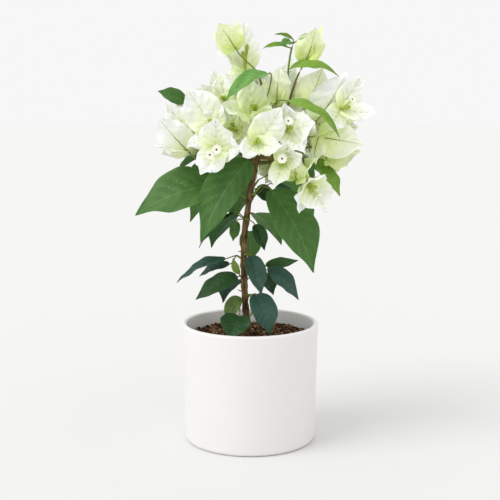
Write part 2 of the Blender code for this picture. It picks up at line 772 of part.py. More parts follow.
def dealt(sector):
    """Trios and leaves of a rear mass, dealt evenly over its sector with a little scatter."""
    deal = random.Random(sector.seed)
    trios = []
    for i in range(sector.trios):
        turn = between(sector.turns, (0.25 + i * GOLDEN_SHARE) % 1.0)
        lift = between(sector.lifts, (i + 0.5) / sector.trios)
        scatter = deal.uniform(-REAR_TURN_SCATTER, REAR_TURN_SCATTER)
        tilt = deal.uniform(-REAR_LIFT_SCATTER, REAR_LIFT_SCATTER)
        faces = (turn + scatter, lift * REAR_LIFT_SHARE + tilt)
        length = deal.uniform(*REAR_BRACT)
        spread = deal.uniform(*REAR_SPREAD)
        spin = deal.uniform(0, REAR_SPIN)
        at = in_crown(turn, lift, 1)
        trios.append(Trio(at, faces, deal.randint(0, 1), spread_bracts(at, faces, length, spread, spin)))
    leaves = []
    for i in range(sector.leaves):
        turn = between(sector.turns, (i + 0.5) / sector.leaves)
        lift = sector.lifts[0] - deal.uniform(*REAR_LEAF_DROP)
        length = deal.uniform(*REAR_LEAF)
        base = in_crown(turn, lift, REAR_LEAF_DEPTH)
        tip = base + direction(turn, deal.uniform(*REAR_LEAF_LIFT)) * length
        leaves.append(Leaf(base, tip, length * REAR_LEAF_WIDTH, (turn, REAR_LEAF_FACING)))
    return leaves, trios


def all_masses():
    """Every mass, from the soil up, with the rear ones dealt by their rule."""
    rear = [Mass(*row, *dealt(sector)) for *row, sector in CROWN_REAR]
    return STEM_LEAVES + CROWN_FRONT + rear


def grow_plant(garden):
    """Grows the plant from its stem outwards, so that each shape meets what already stands."""
    garden.add("main_stem", stem_shape(), needed=True)
    limbs = Limbs()
    limbs.grow_boughs(garden)
    masses = all_masses()
    lines = {mass.name: grow_stem_of(garden, limbs, mass) for mass in masses}
    stalked = [(mass, trio) for mass in masses for trio in mass.trios
               if grow_twig(garden, mass.name, lines[mass.name], trio)]
    for mass in masses:
        for leaf in mass.leaves:
            root = root_on(lines[mass.name], place(leaf.base))
            garden.add(mass.name, leaf_blade(root, leaf), group="leaves")
    for mass, trio in stalked:
        group = ("trio", tuple(trio.at))
        for shape in flowers(trio):
            garden.add(mass.name, shape, group)
        for k in range(3):
            any(garden.add(mass.name, bract(trio, k, *fit), group) for fit in CROWDED)


def main():
    clear_scene()
    finishes = tones()
    garden = Garden()
    garden.add("pot", pot_shape(), needed=True)
    garden.add("potting_soil", soil_shape(), needed=True)
    grow_plant(garden)
    for name, shapes in garden.shapes.items():
        fused(name, shapes, finishes)


main()
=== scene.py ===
"""Looks of a small white bougainvillea, grown as a standard in a straight matt white pot.

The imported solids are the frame: metres, +Z up, the origin in the middle of the pot's flat
underside, and -Y towards the plant's front. Lengths in the tables are millimetres. A direction is
a turn and a lift in degrees: turn 0 looks to the front and +90 to the right, and lift 90 looks
straight up. Each mass of leaves or blossom grows by the rule that made the solids, on finer
twigs. Behind, a leaf or bract is drawn only where its solid has a tip. In front all are drawn.
"""

import logging
import math
import random
from collections.abc import Callable, Iterable, Sequence
from dataclasses import dataclass, field
from enum import Enum

import bpy
import numpy as np
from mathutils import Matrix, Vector
from mathutils.kdtree import KDTree


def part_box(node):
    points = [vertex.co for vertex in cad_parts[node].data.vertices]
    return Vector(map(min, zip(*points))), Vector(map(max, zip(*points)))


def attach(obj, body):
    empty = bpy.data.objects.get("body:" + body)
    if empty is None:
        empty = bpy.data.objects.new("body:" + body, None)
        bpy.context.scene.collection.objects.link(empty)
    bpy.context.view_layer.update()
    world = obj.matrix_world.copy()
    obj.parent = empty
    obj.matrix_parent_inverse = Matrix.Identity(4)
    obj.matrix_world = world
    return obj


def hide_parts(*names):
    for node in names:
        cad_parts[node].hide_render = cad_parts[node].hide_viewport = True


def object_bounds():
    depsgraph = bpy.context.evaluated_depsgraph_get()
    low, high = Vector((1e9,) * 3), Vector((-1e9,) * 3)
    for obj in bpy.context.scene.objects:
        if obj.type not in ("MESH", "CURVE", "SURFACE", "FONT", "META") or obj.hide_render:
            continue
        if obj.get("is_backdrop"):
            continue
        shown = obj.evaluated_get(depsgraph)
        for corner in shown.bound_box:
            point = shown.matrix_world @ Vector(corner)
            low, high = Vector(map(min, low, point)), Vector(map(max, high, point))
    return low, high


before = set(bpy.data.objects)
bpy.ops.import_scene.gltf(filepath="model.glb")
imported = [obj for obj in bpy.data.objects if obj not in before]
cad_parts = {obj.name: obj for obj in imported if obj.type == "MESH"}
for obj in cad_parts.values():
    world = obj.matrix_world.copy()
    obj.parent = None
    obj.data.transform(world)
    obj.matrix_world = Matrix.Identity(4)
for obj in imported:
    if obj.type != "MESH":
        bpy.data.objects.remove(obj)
CAD_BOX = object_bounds()

Array = np.ndarray
Point = tuple[float, float, float]
Face = tuple[int, ...]

MM = 0.001
SHARP_ANGLE = math.radians(55)


# ---------------------------------------------------------------- finishes


def linear(hex_colour: str) -> tuple[float, float, float, float]:
    """Turns an sRGB colour such as "#F3EFEC" into linear red, green and blue, with alpha 1.

    Args:
        hex_colour: Six hex digits after a hash.

    Returns:
        Four numbers for a colour socket.
    """
    shares = [int(hex_colour[i:i + 2], 16) / 255 for i in (1, 3, 5)]
    parts = [c / 12.92 if c <= 0.04045 else ((c + 0.055) / 1.055) ** 2.4 for c in shares]
    return (*parts, 1.0)


def blended(first: str, second: str, share: float) -> str:
    """Mixes two sRGB hex colours.

    Args:
        first: The colour at share 0.
        second: The colour at share 1.
        share: How far to go from the first to the second.

    Returns:
        The mixed colour, as hex.
    """
    pairs = [(int(first[i:i + 2], 16), int(second[i:i + 2], 16)) for i in (1, 3, 5)]
    return "#" + "".join(f"{round(a + (b - a) * share):02X}" for a, b in pairs)


def add_node(
    tree: bpy.types.NodeTree, kind: str, settings: dict[str, object], inputs: dict[str, object]
) -> bpy.types.Node:
    """Adds a shader node with its settings and links.

    Args:
        tree: The material's or world's node tree.
        kind: Blender's name of the node's type.
        settings: Options of the node, by attribute name.
        inputs: Values or other nodes' output sockets, by input name.

    Returns:
        The new node.
    """
    node = tree.nodes.new(kind)
    for name, value in settings.items():
        setattr(node, name, value)
    for name, value in inputs.items():
        if isinstance(value, bpy.types.NodeSocket):
            tree.links.new(value, node.inputs[name])
        else:
            node.inputs[name].default_value = value
    return node


@dataclass(frozen=True)
class Finish:
    """A surface of one plain colour, with its gloss, its translucence and its fine grain.

    Living tissue scatters light inside, so a thin leaf or bract glows where light falls behind
    it. The grain is a low bump of cells.
    """

    name: str
    colour: str
    roughness: float
    ior: float = 1.42
    gloss: float = 0.3
    glow: float = 0.0
    glow_mm: float = 1.0
    grain_mm: float = 0.0
    grain_height_mm: float = 0.05

    def material(self) -> bpy.types.Material:
        """Makes the finish's material the first time that it is asked for.

        Returns:
            The material.
        """
        made = bpy.data.materials.get(self.name)
        if made is None:
            made = bpy.data.materials.new(self.name)
            made.use_nodes = True
            self.dress(made.node_tree, made.node_tree.nodes["Principled BSDF"])
        return made

    def dress(self, tree: bpy.types.NodeTree, shader: bpy.types.Node) -> None:
        """Sets the shader's own sockets and adds the grain.

        Args:
            tree: The material's node tree.
            shader: Its Principled node.
        """
        shader.inputs["Base Color"].default_value = linear(self.colour)
        shader.inputs["Roughness"].default_value = self.roughness
        shader.inputs["IOR"].default_value = self.ior
        shader.inputs["Specular IOR Level"].default_value = self.gloss
        shader.inputs["Subsurface Weight"].default_value = self.glow
        shader.inputs["Subsurface Radius"].default_value = (1.0, 1.0, 0.7)
        shader.inputs["Subsurface Scale"].default_value = self.glow_mm * MM
        if self.grain_mm:
            place = add_node(tree, "ShaderNodeTexCoord", {}, {})
            cells = add_node(tree, "ShaderNodeTexNoise", {}, {
                "Vector": place.outputs["Object"], "Scale": 1 / (self.grain_mm * MM), "Detail": 2.0,
            })
            bump = add_node(tree, "ShaderNodeBump", {}, {
                "Height": cells.outputs["Fac"], "Distance": self.grain_height_mm * MM, "Strength": 0.6,
            })
            tree.links.new(bump.outputs["Normal"], shader.inputs["Normal"])


@dataclass(frozen=True)
class GrainedFinish(Finish):
    """A surface whose colour wanders between two tones in streaks or blotches of a real size."""

    second: str = "#000000"
    streak_mm: Point = (4.0, 4.0, 4.0)
    contrast: tuple[float, float] = (0.35, 0.65)

    def dress(self, tree: bpy.types.NodeTree, shader: bpy.types.Node) -> None:
        """Adds the wandering colour to the plain finish.

        Args:
            tree: The material's node tree.
            shader: Its Principled node.
        """
        super().dress(tree, shader)
        place = add_node(tree, "ShaderNodeTexCoord", {}, {})
        scaled = add_node(tree, "ShaderNodeMapping", {}, {
            "Vector": place.outputs["Object"], "Scale": [1 / (size * MM) for size in self.streak_mm],
        })
        streaks = add_node(tree, "ShaderNodeTexNoise", {}, {
            "Vector": scaled.outputs["Vector"], "Scale": 1.0, "Detail": 4.0, "Roughness": 0.6,
        })
        ramp = add_node(tree, "ShaderNodeValToRGB", {}, {"Fac": streaks.outputs["Fac"]})
        for stop, spot, colour in zip(ramp.color_ramp.elements, self.contrast, (self.colour, self.second)):
            stop.position = spot
            stop.color = linear(colour)
        tree.links.new(ramp.outputs["Color"], shader.inputs["Base Color"])


# Stoneware under a matt white glaze, cast and fired: a soft highlight and a faint unevenness.
MATT_GLAZE = GrainedFinish(
    "matt_white_glaze", "#ECEAEA", 0.42, ior=1.5, gloss=0.4, grain_mm=2.5, grain_height_mm=0.02,
    second="#EAE7E6", streak_mm=(60.0, 60.0, 60.0),
)

# The pot's inside wears the same glaze painted whiter and made smoother. This is painted light that lifts
# the shade on the wall round the soil, so that wall is bright.
INNER_GLAZE_PAINTED_LIGHT = Finish("smooth_white_inner_glaze", "#FCFBF9", 0.3, ior=1.5, gloss=0.4)

# Young bougainvillea bark: brown ridges with olive green showing between them.
STEM_BARK = GrainedFinish(
    "ridged_brown_bark", "#3E3319", 0.75, gloss=0.25, grain_mm=0.8, grain_height_mm=0.2,
    second="#96784E", streak_mm=(2.0, 2.0, 8.0), contrast=(0.38, 0.66),
)
BOUGH_BARK = GrainedFinish(
    "olive_bough_bark", "#4E4724", 0.7, gloss=0.25, grain_mm=0.8, grain_height_mm=0.1,
    second="#7E7140", streak_mm=(2.0, 2.0, 5.0),
)

# Soft first-year wood and leaf stalks, smooth and green.
GREEN_WOOD = Finish("green_twig", "#7C8E3E", 0.55)
LEAF_STALK = Finish("olive_leaf_stalk", "#717C40", 0.55)
STUB_WOOD = Finish("dry_stalk_stub", "#8E6A48", 0.75)
BROWN_WOOD = Finish("brown_twig", "#7A6838", 0.65)

# Composted bark and peat: dark damp crumbs with paler dry splinters among them.
PEAT = GrainedFinish(
    "damp_peat", "#1F120B", 0.95, gloss=0.1, grain_mm=1.2, grain_height_mm=0.5,
    second="#3A2317", streak_mm=(3.0, 3.0, 3.0),
)
CRUMBS = tuple(
    Finish(f"bark_crumb_{i + 1}", colour, 0.92, gloss=0.12, grain_mm=0.7, grain_height_mm=0.1)
    for i, colour in enumerate(("#2C2015", "#4A3324", "#664932", "#826046", "#A3835F"))
)
CRUMB_WEIGHTS = (6, 8, 7, 5, 3)
ROOT_FIBRE = Finish("dry_root_fibre", "#B98F55", 0.8, gloss=0.2)


# A leaf's upper side wanders a little between darker and paler green, paler along its veins.
LEAF_SHADOW = "#12260F"
LEAF_MOTTLE = 0.26
LEAF_STEPS = 7


class LeafTone(Enum):
    """Greens of the leaves: the upper side, the paler underside, and the midrib."""

    GREEN = ("#44702F", "#5F8848", "#7DA25A")
    DEEP = ("#284A24", "#41663A", "#44693C")
    # This grey-blue green is partly the low leaves' own duller green and partly a painted reflection of the
    # pale sky on their gloss, as they lie in shade.
    BLUE = ("#35564A", "#4F7064", "#567A6B")
    OLIVE = ("#587234", "#728B4C", "#8CA364")
    MEADOW = ("#6AA248", "#86B266", "#9CC47A")
    FRESH = ("#82AC3A", "#95B658", "#A8C466")
    YOUNG = ("#7A9636", "#94AA5A", "#A9BE72")

    def tops(self) -> list[Finish]:
        """Makes the finishes of the upper side.

        Returns:
            Even steps from the darkest to the palest.
        """
        kind = self.name.lower()
        dark = blended(self.value[0], LEAF_SHADOW, LEAF_MOTTLE)
        pale = blended(self.value[0], self.value[2], LEAF_MOTTLE)
        return [
            Finish(
                f"{kind}_leaf_top_{i + 1}", blended(dark, pale, i / (LEAF_STEPS - 1)), 0.46, gloss=0.34,
                glow=0.12, grain_mm=1.1,
            )
            for i in range(LEAF_STEPS)
        ]

    def others(self) -> tuple[Finish, Finish, Finish]:
        """Makes the finishes beside those of the upper side.

        Returns:
            Those of the underside, the midrib and the side veins.
        """
        kind = self.name.lower()
        upper, under, rib = self.value
        return (
            Finish(f"{kind}_leaf_under", under, 0.6, gloss=0.2, glow=0.12, grain_mm=1.1),
            Finish(f"{kind}_leaf_rib", rib, 0.5, gloss=0.25),
            Finish(f"{kind}_leaf_vein", blended(upper, rib, 0.5), 0.5, gloss=0.25),
        )


class BractTone(Enum):
    """Ages of a group of bracts, as the share from lime green when young to white when open."""

    LIME = 0.34
    LEMON = 0.47
    CREAM = 0.68
    WHITE = 0.92


# Papery bracts run in close steps from a lime green throat to a white edge.
BRACT_COLOURS = ("#C2DA6A", "#DFF09C", "#F0FBC9", "#F9FFE7", "#FDFFFB")
BRACT_STEPS = 16


def bract_finishes() -> list[Finish]:
    """Makes the bract's tissue.

    Returns:
        Even steps from lime green to white.
    """
    made = []
    for i in range(BRACT_STEPS):
        spot = i / (BRACT_STEPS - 1) * (len(BRACT_COLOURS) - 1)
        low = min(int(spot), len(BRACT_COLOURS) - 2)
        colour = blended(BRACT_COLOURS[low], BRACT_COLOURS[low + 1], spot - low)
        made.append(Finish(
            f"papery_bract_{i + 1:02d}", colour, 0.62, gloss=0.15, glow=0.45, glow_mm=0.8, grain_mm=1.6,
            grain_height_mm=0.08,
        ))
    return made


BRACT_TISSUE = bract_finishes()
BRACT_RIB = Finish("olive_bract_rib", "#93A04A", 0.6, gloss=0.15)
BRACT_VEIN = Finish("pale_green_vein", "#C3D08A", 0.6, gloss=0.15, glow=0.3)
FLOWER_FACE = Finish("cream_flower_face", "#FAF8E6", 0.55, gloss=0.2, glow=0.4, glow_mm=1.5)
FLOWER_TUBE = Finish("pale_green_flower_tube", "#C9D68A", 0.55, gloss=0.2, glow=0.3)
FLOWER_THROAT = Finish("olive_flower_throat", "#6A6A2C", 0.7, gloss=0.15)
BUD_SKIN = Finish("yellow_green_bud", "#A3B64A", 0.5, gloss=0.2, glow=0.2)
STAGE_WHITE = Finish("pale_studio_floor", "#E4E4E3", 0.9, gloss=0.0)


# ---------------------------------------------------------------- places and paths


def metres(point: Sequence[float]) -> Vector:
    """Turns a point of the tables into metres."""
    return Vector(point) * MM


def direction(turn: float, lift: float) -> Vector:
    """Gives the unit vector along a turn and a lift.

    Args:
        turn: Degrees from the front towards the plant's right.
        lift: Degrees above the level.

    Returns:
        The unit vector.
    """
    turn, lift = math.radians(turn), math.radians(lift)
    return Vector((math.sin(turn) * math.cos(lift), -math.cos(turn) * math.cos(lift), math.sin(lift)))


def between(limits: tuple[float, float], share: float) -> float:
    """Returns the value at a share of the way between two limits."""
    return limits[0] + (limits[1] - limits[0]) * share


def bend(start: Vector, leave: Vector, end: Vector, arrive: Vector, steps: int) -> list[Vector]:
    """Lays a smooth path that leaves one way and arrives another.

    Args:
        start: Its first point.
        leave: The unit direction there.
        end: Its last point.
        arrive: The unit direction there.
        steps: How many stretches it has.

    Returns:
        The points, one more than the steps.
    """
    pull = (end - start).length
    path = []
    for i in range(steps + 1):
        t = i / steps
        path.append(
            start * (2 * t**3 - 3 * t**2 + 1)
            + leave * pull * (t**3 - 2 * t**2 + t)
            + end * (3 * t**2 - 2 * t**3)
            + arrive * pull * (t**3 - t**2)
        )
    return path


def smoothed(points: Sequence[Vector], steps: int) -> list[Vector]:
    """Runs one smooth curve through points.

    Args:
        points: The points to pass through.
        steps: Stretches between each two of them.

    Returns:
        The curve's points.
    """
    path = []
    for i in range(len(points) - 1):
        before, here, there, after = (points[min(max(i + k, 0), len(points) - 1)] for k in (-1, 0, 1, 2))
        for j in range(steps):
            t = j / steps
            path.append(0.5 * (
                2 * here + (there - before) * t
                + (2 * before - 5 * here + 4 * there - after) * t**2
                + (3 * here - before - 3 * there + after) * t**3
            ))
    return [*path, points[-1]]


def unit(vectors: Array) -> Array:
    """Scales vectors to length 1."""
    return vectors / np.maximum(np.linalg.norm(vectors, axis=-1, keepdims=True), 1e-12)


# ---------------------------------------------------------------- meshes


def loft(rings: Sequence[Array]) -> tuple[Array, list[Face]]:
    """Joins rings of equal count into one closed shape; a ring of one point is a tip.

    Args:
        rings: Arrays of points, in order.

    Returns:
        The points and the faces, which look outwards if the rings turn left along their order.
    """
    faces: list[Face] = []
    start = 0
    last: range | None = None
    for ring in rings:
        here = range(start, start + len(ring))
        start += len(ring)
        if last is None:
            if len(here) > 1:
                faces.append(tuple(here[::-1]))
        elif len(last) == 1:
            faces += [(last[0], here[i], here[i - 1]) for i in range(len(here))]
        elif len(here) == 1:
            faces += [(last[i - 1], last[i], here[0]) for i in range(len(last))]
        else:
            faces += [(last[i - 1], last[i], here[i], here[i - 1]) for i in range(len(here))]
        last = here
    if len(last) > 1:
        faces.append(tuple(last))
    return np.concatenate(rings), faces


def rings_along(path: Sequence[Vector] | Array, radii: Array, sides: int) -> list[Array]:
    """Sets rings square to a path without twist.

    Args:
        path: The middle line, in metres.
        radii: A radius for each of its points, or for each point and side.
        sides: Points in a ring.

    Returns:
        One ring for each point of the path.
    """
    line = np.array(path, float)
    ways = unit(np.gradient(line, axis=0))
    radii = np.broadcast_to(np.asarray(radii, float).reshape(len(line), -1), (len(line), sides))
    angles = 2 * math.pi * np.arange(sides) / sides
    across = np.array(Vector(ways[0]).orthogonal())
    rings = []
    for spot, way, radius in zip(line, ways, radii):
        across = unit(across - across.dot(way) * way)
        up = np.cross(way, across)
        spokes = np.cos(angles)[:, None] * across + np.sin(angles)[:, None] * up
        rings.append(spot + radius[:, None] * spokes)
    return rings


def tube(path: Sequence[Vector] | Array, radii: Array, sides: int) -> tuple[Array, list[Face]]:
    """Makes a round limb with a pointed far end.

    Args:
        path: The middle line, in metres.
        radii: A radius for each of its points.
        sides: Points in a ring.

    Returns:
        The points and faces of the closed tube.
    """
    rings = rings_along(path, radii, sides)
    tip = np.array(path[-1], float)[None, :]
    return loft([*rings[:-1], tip])


def spun(
    start: Vector, way: Vector, rows: Sequence[tuple[float, float, float]], sides: int, lobes: int = 0
) -> tuple[Array, list[Face]]:
    """Turns a profile about an axis.

    Args:
        start: Where the axis starts.
        way: Its unit direction.
        rows: Distance along it in mm, radius in mm, and how deep the lobes cut, as a share.
        sides: Points in a ring.
        lobes: How many lobes the rim has.

    Returns:
        The points and faces of the closed shape.
    """
    across = way.orthogonal().normalized()
    up = way.cross(across)
    angles = 2 * math.pi * np.arange(sides) / sides
    rings = []
    for far, radius, cut in rows:
        middle = np.array(start + way * far * MM)
        if radius == 0:
            rings.append(middle[None, :])
            continue
        reach = radius * MM * (1 - cut * (1 - np.abs(np.cos(lobes * angles / 2)) ** 0.6))
        rings.append(middle + reach[:, None] * (
            np.cos(angles)[:, None] * np.array(across) + np.sin(angles)[:, None] * np.array(up)
        ))
    return loft(rings)


class Pile:
    """Faces gathered for one joined piece, each with the finish that it wears."""

    def __init__(self, name: str, slot: str) -> None:
        """Starts an empty piece.

        Args:
            name: The piece's name.
            slot: The name of a material slot for the piece; it is stored but not used.
        """
        self.name = name
        self.slot = slot
        self.points: list[Array] = []
        self.faces: list[Face] = []
        self.wears: list[int] = []
        self.finishes: list[Finish] = []
        self.count = 0

    def add(self, shape: tuple[Array, list[Face]], wear: Finish | Sequence[Finish]) -> None:
        """Adds a shape.

        Args:
            shape: Its points and faces.
            wear: One finish, or one for each face.
        """
        points, faces = shape
        self.points.append(points)
        self.faces += [tuple(i + self.count for i in face) for face in faces]
        self.count += len(points)
        finishes = [wear] * len(faces) if isinstance(wear, Finish) else wear
        for finish in finishes:
            if finish not in self.finishes:
                self.finishes.append(finish)
            self.wears.append(self.finishes.index(finish))

    def piece(self, replaced: Iterable[str] = ()) -> bpy.types.Object:
        """Makes the object, which rides on the plant.

        Args:
            replaced: The solids that the piece stands for.

        Returns:
            The new object.
        """
        data = bpy.data.meshes.new(self.name)
        data.from_pydata(np.concatenate(self.points).tolist(), [], self.faces)
        for finish in self.finishes:
            data.materials.append(finish.material())
        data.polygons.foreach_set("material_index", self.wears)
        data.shade_smooth()
        data.set_sharp_from_angle(angle=SHARP_ANGLE)
        made = bpy.data.objects.new(self.name, data)
        bpy.context.scene.collection.objects.link(made)
        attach(made, "root")
        replaced = list(replaced)
        if replaced:
            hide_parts(*replaced)
        return made


# ---------------------------------------------------------------- blades


@dataclass(frozen=True)
class BladeForm:
    """How a kind of blade is cut, bowled, ruffled and veined.

    Shares are of the blade's length along it and of its half-width across it.
    """

    rise: float
    fall: float
    drip: float
    cup: float
    crease: float
    roll: float
    ruffle: float
    waves: float
    pucker_mm: float
    crinkle_mm: float
    tip_bend: float
    thickness_mm: float
    veins: int
    lead: float
    rib_mm: tuple[float, float]
    rib_above_mm: float
    vein_mm: float
    vein_above_mm: float
    rows: int
    columns: int


LEAF_FORM = BladeForm(
    rise=0.6, fall=0.86, drip=0.5, cup=0.42, crease=0.10, roll=0.05, ruffle=0.022, waves=1.6, pucker_mm=1.0,
    crinkle_mm=0.08, tip_bend=-0.05, thickness_mm=0.36, veins=7, lead=0.27, rib_mm=(0.5, 0.2),
    rib_above_mm=0.08, vein_mm=0.2, vein_above_mm=0.08, rows=32, columns=16,
)
BRACT_FORM = BladeForm(
    rise=0.46, fall=0.76, drip=0.4, cup=0.6, crease=0.09, roll=0.24, ruffle=0.085, waves=1.35,
    pucker_mm=0.6, crinkle_mm=0.62, tip_bend=-0.08, thickness_mm=0.24, veins=6, lead=0.3,
    rib_mm=(0.6, 0.16), rib_above_mm=0.05, vein_mm=0.17, vein_above_mm=0.09, rows=26, columns=20,
)
EDGE_SWEEP = 0.3
DRIP_FROM = 0.62
NUDGE = 0.004
RIB_SIDES = 6
VEIN_STEPS = 13
VEIN_SIDES = 4
VEIN_START = 0.12
VEIN_REACH = 0.86
VEIN_END = 0.93
VEIN_TAPER = 0.55
SICKLE = 0.03
TWIST = 0.25
BEND_SPREAD = (0.3, 1.7)
CREASE_SPREAD = (0.3, 2.0)
CRINKLE_COUNT = 5
ROWS_TO_ENDS = 0.45
COLUMNS_TO_EDGES = 0.35


def outline(t: Array, form: BladeForm) -> Array:
    """Gives the half-width of a blade along it, as a share of its widest.

    Args:
        t: Shares along the blade.
        form: Its kind, whose drip says how much the last part narrows to a drawn-out tip.

    Returns:
        The half-widths.
    """
    peak = form.rise / (form.rise + form.fall)
    wide = (t / peak) ** form.rise * ((1 - t) / (1 - peak)) ** form.fall
    last = np.clip((t - DRIP_FROM) / (1 - DRIP_FROM), 0, 1)
    return wide * (1 - form.drip * np.sin(math.pi / 2 * last) ** 2)


class Blade:
    """One leaf or bract: a thin closed sheet with a midrib and side veins standing out of it."""

    def __init__(
        self, form: BladeForm, base: Vector, tip: Vector, faces: Vector, width: float, arch: float,
        seed: str,
    ) -> None:
        """Places the blade and draws its small irregularities.

        Args:
            form: How this kind of blade is made.
            base: Where the blade starts.
            tip: Where it ends.
            faces: Roughly which way its upper side looks.
            width: Its greatest width in metres.
            arch: How far its middle stands up, as a share of its length.
            seed: A name that its own chances are drawn from.
        """
        self.form = form
        self.base = np.array(base)
        self.length = (tip - base).length
        along = (tip - base).normalized()
        normal = (faces - faces.dot(along) * along).normalized()
        self.along = np.array(along)
        self.normal = np.array(normal)
        self.side = np.array(along.cross(normal))
        self.width = width
        self.arch = arch
        chance = random.Random(seed)
        self.phases = [chance.uniform(0, 2 * math.pi) for _ in range(4)]
        self.sickle = chance.uniform(-SICKLE, SICKLE)
        self.twist = chance.uniform(-TWIST, TWIST)
        self.tip_bend = form.tip_bend * chance.uniform(*BEND_SPREAD)
        self.crease = form.crease * chance.uniform(*CREASE_SPREAD)
        self.crinkles = [
            (chance.uniform(-1, 1), chance.uniform(-1, 1), chance.uniform(0, 2 * math.pi))
            for _ in range(CRINKLE_COUNT)
        ]

    def spots(self, t: Array, s: Array) -> Array:
        """Gives points of the blade's middle sheet.

        Args:
            t: Shares along the blade, from 0 at its base to 1 at its tip.
            s: Shares across it, from -1 at one edge to 1 at the other.

        Returns:
            An array of points, in metres.
        """
        form = self.form
        t, s = np.broadcast_arrays(np.asarray(t, float), np.asarray(s, float))
        far = np.abs(s)
        wide = self.width / 2 * outline(np.clip(t, 0, 1), form)
        out = wide * np.sin(form.cup * s) / form.cup
        up = wide * (1 - np.cos(form.cup * s)) / form.cup
        up = up + wide * (self.crease * (np.sqrt(s * s + 0.01) - 0.1) - form.roll * far**4)
        body = np.sqrt(np.clip(np.sin(math.pi * np.clip(t, 0, 1)), 0, 1))
        first = np.where(s > 0, self.phases[0], self.phases[1])
        second = np.where(s > 0, self.phases[2], self.phases[3])
        frill = np.sin(2 * math.pi * form.waves * t + first) + 0.5 * np.sin(
            4.2 * math.pi * form.waves * t + second
        )
        up = up + self.length * form.ruffle * far**2.5 * body * frill
        quilt = np.sin(math.pi * form.veins * (t - form.lead * far)) ** 2
        up = up + form.pucker_mm * MM * quilt * np.clip(5 * far, 0, 1) * (1 - far**3) * body
        across_mm = s * self.width / 2 / MM
        along_mm = t * self.length / MM
        for a, b, phase in self.crinkles:
            up = up + form.crinkle_mm * MM * 0.45 * body * np.sin(a * across_mm + b * along_mm + phase)
        turn = self.twist * (t - 0.3)
        out, up = out * np.cos(turn) - up * np.sin(turn), out * np.sin(turn) + up * np.cos(turn)
        back = wide * np.clip(EDGE_SWEEP - t, 0, None) * far**1.5
        middle = self.arch * 4 * t * (1 - t) + self.tip_bend * t**3
        ahead = self.length * t - back
        aside = out + self.length * self.sickle * 4 * t * (1 - t)
        above = up + self.length * middle
        return (
            self.base + ahead[..., None] * self.along + aside[..., None] * self.side
            + above[..., None] * self.normal
        )

    def lifts(self, t: Array, s: Array) -> Array:
        """Gives the unit vectors square to the sheet, on its upper side."""
        here = self.spots(t, s)
        return unit(np.cross(self.spots(t, s + NUDGE) - here, self.spots(t + NUDGE, s) - here))

    def stations(self) -> Array:
        """Gives the shares along the blade at which its rows of points lie, closer at the ends."""
        run = np.linspace(0, 1, self.form.rows + 2)[1:-1]
        return (1 - ROWS_TO_ENDS) * run + ROWS_TO_ENDS * (1 - np.cos(math.pi * run)) / 2

    def skin(self, pile: Pile, tissue: Callable[[float, float, bool], Finish]) -> None:
        """Adds the sheet, whose two sides share their edge points.

        Args:
            pile: The piece that it joins.
            tissue: Gives a face's finish from its share along, its share across from -1 to 1,
                and whether it is on the upper side.
        """
        rows, columns = self.form.rows, self.form.columns
        t = self.stations()
        s = np.linspace(-1, 1, columns + 1)
        s = np.sin(s * math.pi / 2) * COLUMNS_TO_EDGES + s * (1 - COLUMNS_TO_EDGES)
        grid_t, grid_s = np.meshgrid(t, s, indexing="ij")
        sheet = self.spots(grid_t, grid_s)
        half = self.form.thickness_mm * MM / 2 * self.lifts(grid_t, grid_s)
        half[:, [0, -1]] = 0
        upper = (sheet + half).reshape(-1, 3)
        lower = (sheet - half)[:, 1:-1].reshape(-1, 3)
        ends = self.spots(np.array([0.0, 1.0]), np.zeros(2))
        top = np.arange(rows * (columns + 1)).reshape(rows, columns + 1)
        under = top.copy()
        under[:, 1:-1] = len(upper) + np.arange(rows * (columns - 1)).reshape(rows, columns - 1)
        base = len(upper) + len(lower)
        faces: list[Face] = []
        wears: list[Finish] = []
        for sheet_of, is_top in ((top, True), (under, False)):
            found = []
            for j in range(rows - 1):
                for i in range(columns):
                    quad = (sheet_of[j, i], sheet_of[j, i + 1], sheet_of[j + 1, i + 1], sheet_of[j + 1, i])
                    found.append((quad, (t[j] + t[j + 1]) / 2, (s[i] + s[i + 1]) / 2))
            for i in range(columns):
                found.append(((base, sheet_of[0, i + 1], sheet_of[0, i]), 0.0, (s[i] + s[i + 1]) / 2))
                found.append(((sheet_of[-1, i], sheet_of[-1, i + 1], base + 1), 1.0, (s[i] + s[i + 1]) / 2))
            for face, along, across in found:
                faces.append(tuple(int(k) for k in (face if is_top else face[::-1])))
                wears.append(tissue(along, across, is_top))
        pile.add((np.concatenate([upper, lower, ends]), faces), wears)

    def ribs(self, pile: Pile, wear: Sequence[Finish], stalk: Sequence[Vector] = ()) -> None:
        """Adds the midrib, with the stalk that runs on into it, and the side veins.

        They stand a little out of the upper side, and the rest of their thickness out of the
        underside.

        Args:
            pile: The piece that they join.
            wear: Finishes of the stalk, of the midrib's lower and upper half, and of the veins.
            stalk: Points of the stalk from its root, where the blade has one.
        """
        form = self.form
        t = self.stations()[:-2]
        radii = np.linspace(*form.rib_mm, len(t)) * MM
        line = self.sunk(t, np.zeros_like(t), radii, form.rib_above_mm)
        lengths = [0, len(t) // 2, len(t) - 1 - len(t) // 2]
        if stalk:
            line = np.concatenate([np.array([tuple(p) for p in stalk[:-1]]), line])
            radii = np.concatenate([np.full(len(stalk) - 1, STALK_MM * MM), radii])
            lengths[0] = len(stalk) - 1
        wears = [wear[0]]
        for finish, length in zip(wear, lengths):
            wears += [finish] * length * RIB_SIDES
        pile.add(tube(line, radii, RIB_SIDES), wears)
        shares = np.linspace(0, 1, VEIN_STEPS)
        for i in range(form.veins - 1):
            start = (i + VEIN_START) / form.veins
            for hand in (-1, 1):
                s = hand * shares * VEIN_REACH
                t = start + form.lead * np.abs(s)
                keep = t < VEIN_END
                if keep.sum() < 3:
                    continue
                radii = form.vein_mm * MM * (1 - VEIN_TAPER * shares[keep])
                line = self.sunk(t[keep], s[keep], radii, form.vein_above_mm)
                pile.add(tube(line, radii, VEIN_SIDES), wear[3])

